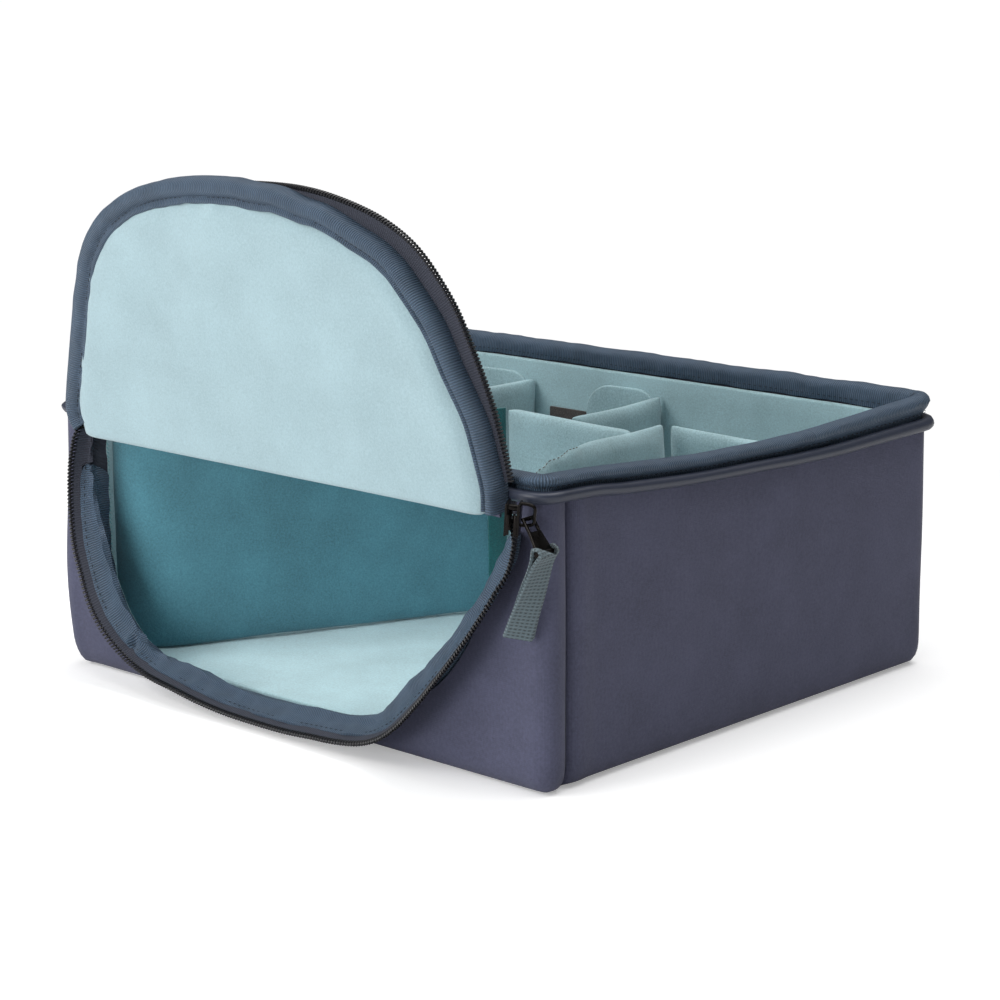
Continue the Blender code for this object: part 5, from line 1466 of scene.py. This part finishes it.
def build_webbing(materials, foot_axis, across):
    """A length of webbing folded round the pull's bar and sewn to itself, with its ends fused."""
    low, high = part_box("pull_webbing")
    middle = (low + high) / 2
    down = middle - foot_axis
    down -= across * down.dot(across)
    down.normalize()
    out = down.cross(across).normalized()
    length = 40 * MM
    width = 12.5 * MM
    ply = 1.35 * MM
    bar = 1.5 * MM + ply / 2
    turn = [(bar * math.sin(angle), bar * math.cos(angle))
            for angle in [math.radians(degrees) for degrees in range(-75, 76, 15)]]
    points = [(-ply * 0.52, -length), (-ply * 0.55, -length * 0.6), (-ply * 0.6, -6 * MM)] + turn
    points += [(ply * 0.6, -6 * MM), (ply * 0.55, -length * 0.6), (ply * 0.52, -length)]
    path = rounded(points, closed=False, steps=5)

    def place(u, v):
        spot = path.at(u)
        nudge = 0.006
        along = (path.at(u + nudge) - path.at(u - nudge)).normalized()
        normal = Vector((-along.y, along.x))
        ring = rounded_strip(v, width, ply)
        low = min(max(-spot.y / length, 0.0), 1.0)
        sag = ripple((ring.x * 2, spot.y, 0.0), 12 * MM, 0.3 * MM)
        bow = 1.6 * MM * low * low
        flat = spot + normal * (ring.y + sag)
        turned = Matrix.Rotation(WEBBING_TWIST * low, 3, down)
        shift = across * (WEBBING_SPREAD * low * (1 if u < 0.5 else -1))
        return foot_axis + turned @ (across * ring.x + out * (flat.x + bow)) + shift - down * flat.y

    notch_half = 4.5 * MM
    shape = skin(place, 170, 28, path.length, 2 * (width + ply))
    gone = [face for face in shape.faces
            if abs((face.calc_center_median() - foot_axis).dot(across)) < notch_half
            and (face.calc_center_median() - foot_axis).dot(down) < 0.6 * MM]
    bmesh.ops.delete(shape, geom=gone, context="FACES")
    edges = [edge for edge in shape.edges if edge.is_boundary]
    bmesh.ops.holes_fill(shape, edges=edges)
    bmesh.ops.recalc_face_normals(shape, faces=shape.faces)
    finish_piece(shape, "pull_webbing_loop", materials["webbing"], "webbing", ("pull_webbing",), "webbing", 50)


def rounded_strip(share, width, thickness):
    """A point round the edge of a flat strip's section with round sides."""
    radius = thickness / 2
    flat = width - thickness
    total = 2 * flat + 2 * math.pi * radius
    run = share * total
    if run < flat:
        return Vector((-flat / 2 + run, radius))
    run -= flat
    if run < math.pi * radius:
        angle = math.pi / 2 - run / radius
        return Vector((flat / 2 + radius * math.cos(angle), radius * math.sin(angle)))
    run -= math.pi * radius
    if run < flat:
        return Vector((flat / 2 - run, -radius))
    run -= flat
    angle = -math.pi / 2 - run / radius
    return Vector((-flat / 2 + radius * math.cos(angle), radius * math.sin(angle)))


# Dividers

# How far the cloth of a divider starts from its board's left end, and how far its top stands over the board
# at each end
DIVIDER_START = {"cross_divider": 7.5 * MM, "right_rear_divider": -13.5 * MM}
DIVIDER_RISE = {"cross_divider": (3.0 * MM, 1.2 * MM), "right_rear_divider": (1.6 * MM, 0.8 * MM)}
PLAIN_DIVIDERS = (
    ("cross_divider", "cross", 11.0),
    ("right_rear_divider", "right_rear", 12.0),
    ("middle_rear_divider", "middle_rear", 13.0),
    ("left_rear_divider", "left_rear", 14.0),
)


def box_pad(name, low, high, material, body, replaces, slot, place=None, seed=0.0):
    """A padded board in a box, swollen and with soft edges. place moves its points if it stands at an angle."""
    inset = 0.7 * MM
    shape = soft_box(Vector(low) + Vector((inset,) * 3), Vector(high) - Vector((inset,) * 3),
                     2.4 * MM, 12 * MM, 3)
    piece = finish_piece(shape, name, material, body, replaces, slot)
    swell(piece, sizes().puff, 3.2 * MM)
    for vert in piece.data.vertices:
        vert.co += Vector((ripple(vert.co, 30 * MM, 0.6 * MM, seed), ripple(vert.co, 30 * MM, 0.6 * MM, seed + 3),
                           ripple(vert.co, 30 * MM, 0.5 * MM, seed + 6)))
    if place is not None:
        for vert in piece.data.vertices:
            vert.co = place(vert.co)
    subdivide(piece)
    return piece


def build_dividers(materials):
    """The lift-out dividers, their end tabs and the sewing on them."""
    for name, body, seed in PLAIN_DIVIDERS:
        low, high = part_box(name)
        low = low + Vector((DIVIDER_START.get(name, 0.0), 0, 0))
        rise = DIVIDER_RISE.get(name, (0.0, 0.0))

        def lifted(point, low=low, high=high, rise=rise):
            part = (point.x - low.x) / (high.x - low.x)
            top = smoothstep((point.z - low.z) / (high.z - low.z))
            return point + Vector((0, 0, top * (rise[0] + (rise[1] - rise[0]) * part)))

        box_pad(name + "_pad", low, high, materials["divider"], body, (name,), "divider", lifted, seed)
    for name, body in (("middle_rear_divider_tab", "middle_rear"), ("left_rear_divider_tab", "left_rear")):
        build_tab(name, body, materials)
    build_access_divider(materials)
    build_arched_divider(materials)

    low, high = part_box("far_wall_hook_patch")
    shape = soft_box((low.x, low.y - 0.6 * MM, low.z), high, 0.5 * MM, 6 * MM)
    finish_piece(shape, "far_wall_pile_patch", materials["patch"], "shell", ("far_wall_hook_patch",), "hook")


def build_tab(name, body, materials):
    """A divider's end tab: one ply of the cloth, round at its top corners, lying on the far wall."""
    low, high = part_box(name)
    high = high + Vector((3 * MM, 0, 0))
    width, height = high.x - low.x, high.z - low.z
    radius = 16 * MM
    thickness = 2.4 * MM
    shape = box_shape((width, thickness, height),
                      ((low.x + high.x) / 2, high.y - thickness / 2, (low.z + high.z) / 2))
    top = [edge for edge in shape.edges
           if all(vert.co.z > high.z - MM for vert in edge.verts)
           and abs(edge.verts[0].co.y - edge.verts[1].co.y) > MM]
    round_edges(shape, top, radius, 10)
    rims = [edge for edge in shape.edges if abs(edge.verts[0].co.y - edge.verts[1].co.y) < MM]
    round_edges(shape, rims, 1.0 * MM, 3)
    divide(shape, low, high, 7 * MM, (0, 2))
    for vert in shape.verts:
        away = smoothstep((high.x - vert.co.x) / width)
        peel = 2.2 * MM * away * away * smoothstep((vert.co.z - low.z) / height)
        vert.co.y -= peel + ripple(vert.co, 20 * MM, 0.4 * MM)
    finish_piece(shape, name + "_cloth", materials["divider"], body, (name,), "divider")


def upright_turn(start, direction):
    """Places a board built along +X from the origin so that it starts at a point and runs a given way."""
    along = Vector((direction.x, direction.y, 0)).normalized()
    side = Vector((0, 0, 1)).cross(along)
    turn = Matrix((along, side, Vector((0, 0, 1)))).transposed().to_4x4()
    return Matrix.Translation(Vector((start.x, start.y, 0))) @ turn


def build_access_divider(materials):
    """The slanting felt divider: its hinged near end lies along the door's wall, with an overlocked edge,
    and a hook strip stands at its far end."""
    low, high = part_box("access_divider")
    half = DIVIDER_THICKNESS / 2
    angle = math.radians(66)
    direction = Vector((math.cos(angle), math.sin(angle)))
    near = Vector((low.x + half * direction.y, low.y + half * direction.x))
    far = near + direction * ((high.y - low.y - DIVIDER_THICKNESS * direction.x) / direction.y + 16 * MM)
    bend = [(-139.0, -121.2), (-128.5, -120.0), (-119.5, -116.2), (-113.8, -110.2)]
    points = [Vector(point) * MM for point in bend] + [near + direction * 24 * MM, near + direction * 60 * MM, far]
    path = rounded(points, closed=False, steps=8)
    length = path.length

    def placed(point):
        share = min(max(point.x / length, 0.0), 1.0)
        nudge = LINE_STEP / length
        along = (path.at(share + nudge) - path.at(share - nudge)).normalized()
        spot = path.at(share) + along * (point.x - share * length) + Vector((-along.y, along.x)) * point.y
        return Vector((spot.x, spot.y, point.z))

    pressed_in = 2.4 * MM
    box_pad("access_divider_felt", (0, -half, DIVIDER_FOOT - pressed_in), (length, half, DIVIDER_TOP),
            materials["access"], "access", ("access_divider",), "access", placed, 21.0)

    strip_width, strip_thickness, from_end = 10 * MM, 1.4 * MM, 2.2 * MM
    box_low = (length - strip_width - from_end, -half - strip_thickness, DIVIDER_FOOT + MM)
    box_high = (length - from_end, -half + 0.4 * MM, DIVIDER_TOP - MM)
    shape = soft_box(box_low, box_high, 0.5 * MM, 5 * MM)
    for vert in shape.verts:
        vert.co = placed(vert.co)
    finish_piece(shape, "access_hook_strip", materials["strip"], "access", ("access_divider_hook_strip",), "strip")

    for row, slant in enumerate((-55, 55)):
        x = (1.4 + 2.0 * row) * MM
        ends = [placed(Vector((x, -half - 0.35 * MM, z))) for z in (DIVIDER_FOOT + 3 * MM, DIVIDER_TOP - 3 * MM)]
        line = Line(ends)
        stitches(f"access_overlock_{row}", lambda share, line=line: line_frame(line, share, (0.0, -1.0, 0.0)),
                 line.length, materials["pale_thread"], "access", 2.0 * MM, (2.2, 0.4), math.radians(slant))


def arch_sag(along):
    """How far the arched divider's top hangs under a level line towards its far end."""
    return 3.2 * MM * smoothstep((along - 40 * MM) / (74 * MM))


def build_arched_divider(materials):
    """The divider whose top runs down in a round, with a sewn line along the round; its top edge shows as a light
    band under the lamps.
    """
    low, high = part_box("arched_divider")
    lean = math.radians(8.5)
    length = 121 * MM
    spring = 88 * MM
    half = DIVIDER_THICKNESS / 2
    direction = Vector((-math.sin(lean), math.cos(lean)))
    start = Vector((high.x - half * direction.y, low.y + half * math.sin(lean))) - direction * 7 * MM
    turn = upright_turn(start, direction)
    power = 0.5
    rise = DIVIDER_TOP + 7.6 * MM - spring
    crown = []
    steps = 24
    for step in range(steps + 1):
        angle = math.pi / 2 * step / steps
        along, up = 1 - math.cos(angle) ** power, math.sin(angle) ** power
        crown.append(Vector((length * along, 0.0, spring + rise * up)))
    inset = 0.8 * MM
    outline = [Vector((inset, 0, DIVIDER_FOOT))] + [point + Vector((inset * (1 - point.x / length), 0, -inset))
                                                    for point in crown]
    outline += [Vector((length, 0, DIVIDER_FOOT))]
    shape = plate([(point.x, point.z) for point in outline], -half + inset, 2 * (half - inset))
    piece = finish_piece(shape, "arched_divider_pad", materials["divider"], "arched", ("arched_divider",),
                         "divider")
    swell(piece, sizes().puff, 3.2 * MM)
    for vert in piece.data.vertices:
        sag = arch_sag(vert.co.x) * smoothstep((vert.co.z - 60 * MM) / (50 * MM))
        vert.co += Vector((0.0, ripple(vert.co, 30 * MM, 0.7 * MM, 31.0), -sag))
    piece.data.transform(turn)
    subdivide(piece)

    surface = BVHTree.FromPolygons([vert.co for vert in piece.data.vertices],
                                   [face.vertices for face in piece.data.polygons])

    def sewn(point):
        away = Vector((point.x / length - 1, 0.0, point.x / length + 0.3)).normalized()
        outside = turn @ (point + away * 4 * MM + Vector((0.0, -0.75 * half, -arch_sag(point.x))))
        return surface.find_nearest(outside)[0]

    line = Line([sewn(point) for point in crown[1:-6]])
    normal = turn.to_3x3() @ Vector((-0.3, -0.5, 0.8)).normalized()
    stitches("arched_divider_stitches", lambda share: line_frame(line, share, normal), line.length,
             materials["brown_thread"], "arched", 2.6 * MM, (2.1, 0.4))


# Studio

CAMERA_LENS = 96.1
CAMERA_SENSOR = 36.0
CAMERA_AZIMUTH = math.radians(43.28)
CAMERA_HEIGHT_ANGLE = math.radians(12.53)
CAMERA_ROLL = math.radians(-0.5)
CAMERA_DISTANCE = 1.269
CAMERA_AIM_RIGHT = 1.6 * MM
CAMERA_AIM_UP = 14.5 * MM
CAMERA_AIM_HEIGHT = 65 * MM


def build_camera():
    azimuth, height = CAMERA_AZIMUTH, CAMERA_HEIGHT_ANGLE
    back = Vector((math.sin(azimuth) * math.cos(height), -math.cos(azimuth) * math.cos(height), math.sin(height)))
    right = Vector((math.cos(azimuth), math.sin(azimuth), 0))
    up = back.cross(right)
    aim = right * CAMERA_AIM_RIGHT + up * CAMERA_AIM_UP + Vector((0, 0, CAMERA_AIM_HEIGHT))
    turn = Matrix((right, up, back)).transposed() @ Matrix.Rotation(CAMERA_ROLL, 3, "Z")
    data = bpy.data.cameras.new("studio_camera")
    data.sensor_width = CAMERA_SENSOR
    data.lens = CAMERA_LENS
    data.clip_start, data.clip_end = 0.05, 50.0
    camera = bpy.data.objects.new("studio_camera", data)
    camera.matrix_world = Matrix.Translation(aim + back * CAMERA_DISTANCE) @ turn.to_4x4()
    bpy.context.scene.collection.objects.link(camera)
    bpy.context.scene.camera = camera


def build_light(name, place, size, power):
    """A soft rectangular light that points at the insert."""
    aim = Vector((0, 0, 0.1))
    data = bpy.data.lights.new(name, "AREA")
    data.shape = "RECTANGLE"
    data.size, data.size_y = size
    data.energy = power
    light = bpy.data.objects.new(name, data)
    light.location = place
    light.rotation_euler = (aim - Vector(place)).to_track_quat("-Z", "Y").to_euler()
    bpy.context.scene.collection.objects.link(light)


WHITE = (1.0, 1.0, 1.0, 1.0)
FLOOR_PAINT = (0.9, 0.9, 0.9, 1.0)
SURROUND_LIGHT = 0.18
SURROUND_SEEN = 1.02
FLOOR_GLOW = 0.3
FLOOR_SHADOW_REACH = 0.55


def build_world():
    """An even surround that the camera sees as white, and that lights softly."""
    world = bpy.data.worlds.new("white_studio")
    bpy.context.scene.world = world
    world.use_nodes = True
    tree = world.node_tree
    tree.nodes.clear()
    seen = add_node(tree, "ShaderNodeLightPath", output="Is Camera Ray")
    soft = add_node(tree, "ShaderNodeBackground", None, {"Color": WHITE, "Strength": SURROUND_LIGHT})
    plain = add_node(tree, "ShaderNodeBackground", None, {"Color": WHITE, "Strength": SURROUND_SEEN})
    mix = add_node(tree, "ShaderNodeMixShader", None, {0: seen, 1: soft, 2: plain})
    add_node(tree, "ShaderNodeOutputWorld", None, {"Surface": mix})


def build_ground():
    """A white floor that goes over into the surround and keeps the object's shadow."""
    material = bpy.data.materials.new("white_floor_paint")
    material.use_nodes = True
    tree = material.node_tree
    tree.nodes.clear()
    paint = add_node(tree, "ShaderNodeBsdfDiffuse", None, {"Color": FLOOR_PAINT})
    camera_ray = add_node(tree, "ShaderNodeLightPath", output="Is Camera Ray")
    dark, glow, white = (add_node(tree, "ShaderNodeEmission", None, {"Color": WHITE, "Strength": strength})
                         for strength in (0.0, FLOOR_GLOW, SURROUND_SEEN))
    lit = add_node(tree, "ShaderNodeMixShader", None, {0: camera_ray, 1: dark, 2: glow})
    near = add_node(tree, "ShaderNodeAddShader", None, {0: paint, 1: lit})
    where = add_node(tree, "ShaderNodeTexCoord", output="Object")
    distance = add_node(tree, "ShaderNodeVectorMath", {"operation": "LENGTH"}, {0: where}, "Value")
    away = add_node(tree, "ShaderNodeMapRange", {"interpolation_type": "SMOOTHSTEP"},
                    {0: distance, 1: FLOOR_SHADOW_REACH * 0.45, 2: FLOOR_SHADOW_REACH, 3: 0.0, 4: 1.0})
    plain = add_node(tree, "ShaderNodeMath", {"operation": "MULTIPLY"}, {0: away, 1: camera_ray})
    both = add_node(tree, "ShaderNodeMixShader", None, {0: plain, 1: near, 2: white})
    add_node(tree, "ShaderNodeOutputMaterial", None, {"Surface": both})
    shape = bmesh.new()
    bmesh.ops.create_circle(shape, cap_ends=True, segments=64, radius=6.0)
    mesh = bpy.data.meshes.new("studio_floor")
    shape.to_mesh(mesh)
    shape.free()
    floor = bpy.data.objects.new("studio_floor", mesh)
    mesh.materials.append(material)
    bpy.context.scene.collection.objects.link(floor)


# Operators and panel

MATERIALS = {}


class INSERT_OT_materials(bpy.types.Operator):
    """Make the cloth, tape, plastic and metal materials"""

    bl_idname = "insert.materials"
    bl_label = "Materials"

    def execute(self, context):
        MATERIALS.update(make_materials())
        return {"FINISHED"}


class INSERT_OT_stage(bpy.types.Operator):
    """Make the camera, the lights, the surround and the floor"""

    bl_idname = "insert.stage"
    bl_label = "Stage"

    def execute(self, context):
        context.scene.view_settings.view_transform = "Standard"
        build_camera()
        build_world()
        build_ground()
        build_light("key_light", (-0.9, -1.6, 1.5), (1.6, 1.2), 26)
        build_light("top_light", (0.2, 0.3, 1.9), (1.8, 1.8), 32)
        build_light("front_light", (0.0, -2.2, 0.55), (1.2, 0.8), 22)
        return {"FINISHED"}


class INSERT_OT_shell(bpy.types.Operator):
    """Build the outer cloth"""

    bl_idname = "insert.shell"
    bl_label = "Outer cloth"

    def execute(self, context):
        build_shell(MATERIALS)
        return {"FINISHED"}


class INSERT_OT_rim(bpy.types.Operator):
    """Build the rim's binding, stitches and piping"""

    bl_idname = "insert.rim"
    bl_label = "Rim"

    def execute(self, context):
        build_rim(MATERIALS)
        return {"FINISHED"}


class INSERT_OT_linings(bpy.types.Operator):
    """Build the padded walls and floor"""

    bl_idname = "insert.linings"
    bl_label = "Linings"

    def execute(self, context):
        build_linings(MATERIALS)
        build_foam(MATERIALS)
        return {"FINISHED"}


class INSERT_OT_door(bpy.types.Operator):
    """Build the padded door with its edge binding and zip half"""

    bl_idname = "insert.door"
    bl_label = "Door"

    def execute(self, context):
        build_door(MATERIALS)
        return {"FINISHED"}


class INSERT_OT_frame_lip(bpy.types.Operator):
    """Build the lip round the door's hole with its zip half"""

    bl_idname = "insert.frame_lip"
    bl_label = "Door frame"

    def execute(self, context):
        build_frame_lip(MATERIALS)
        return {"FINISHED"}


class INSERT_OT_slider(bpy.types.Operator):
    """Build the zip slider, its pull and the webbing"""

    bl_idname = "insert.slider"
    bl_label = "Slider and pull"

    def execute(self, context):
        build_slider(MATERIALS)
        return {"FINISHED"}


class INSERT_OT_dividers(bpy.types.Operator):
    """Build the padded dividers, their tabs and the hook patch"""

    bl_idname = "insert.dividers"
    bl_label = "Dividers"

    def execute(self, context):
        build_dividers(MATERIALS)
        return {"FINISHED"}


class INSERT_PT_panel(bpy.types.Panel):
    """Sizes, colours and the steps that build the insert"""

    bl_idname = "INSERT_PT_panel"
    bl_label = "Camera bag insert"
    bl_space_type = "VIEW_3D"
    bl_region_type = "UI"
    bl_category = "Insert"

    def draw(self, context):
        layout = self.layout
        for group in (context.scene.insert_sizes, context.scene.insert_colours):
            box = layout.box()
            for name in group.__annotations__:
                box.prop(group, name)
        for step in STEPS:
            layout.operator(step.bl_idname)


STEPS = (
    INSERT_OT_materials,
    INSERT_OT_stage,
    INSERT_OT_shell,
    INSERT_OT_rim,
    INSERT_OT_linings,
    INSERT_OT_door,
    INSERT_OT_frame_lip,
    INSERT_OT_slider,
    INSERT_OT_dividers,
)
CLASSES = (InsertColours, InsertSizes, *STEPS, INSERT_PT_panel)


def register():
    for cls in CLASSES:
        bpy.utils.register_class(cls)
    bpy.types.Scene.insert_colours = PointerProperty(type=InsertColours)
    bpy.types.Scene.insert_sizes = PointerProperty(type=InsertSizes)


def unregister():
    del bpy.types.Scene.insert_sizes
    del bpy.types.Scene.insert_colours
    for cls in reversed(CLASSES):
        bpy.utils.unregister_class(cls)


def main():
    register()
    bpy.ops.insert.materials()
    bpy.ops.insert.stage()
    bpy.ops.insert.shell()
    bpy.ops.insert.rim()
    bpy.ops.insert.linings()
    bpy.ops.insert.door()
    bpy.ops.insert.frame_lip()
    bpy.ops.insert.slider()
    bpy.ops.insert.dividers()


if __name__ == "__main__":
    main()
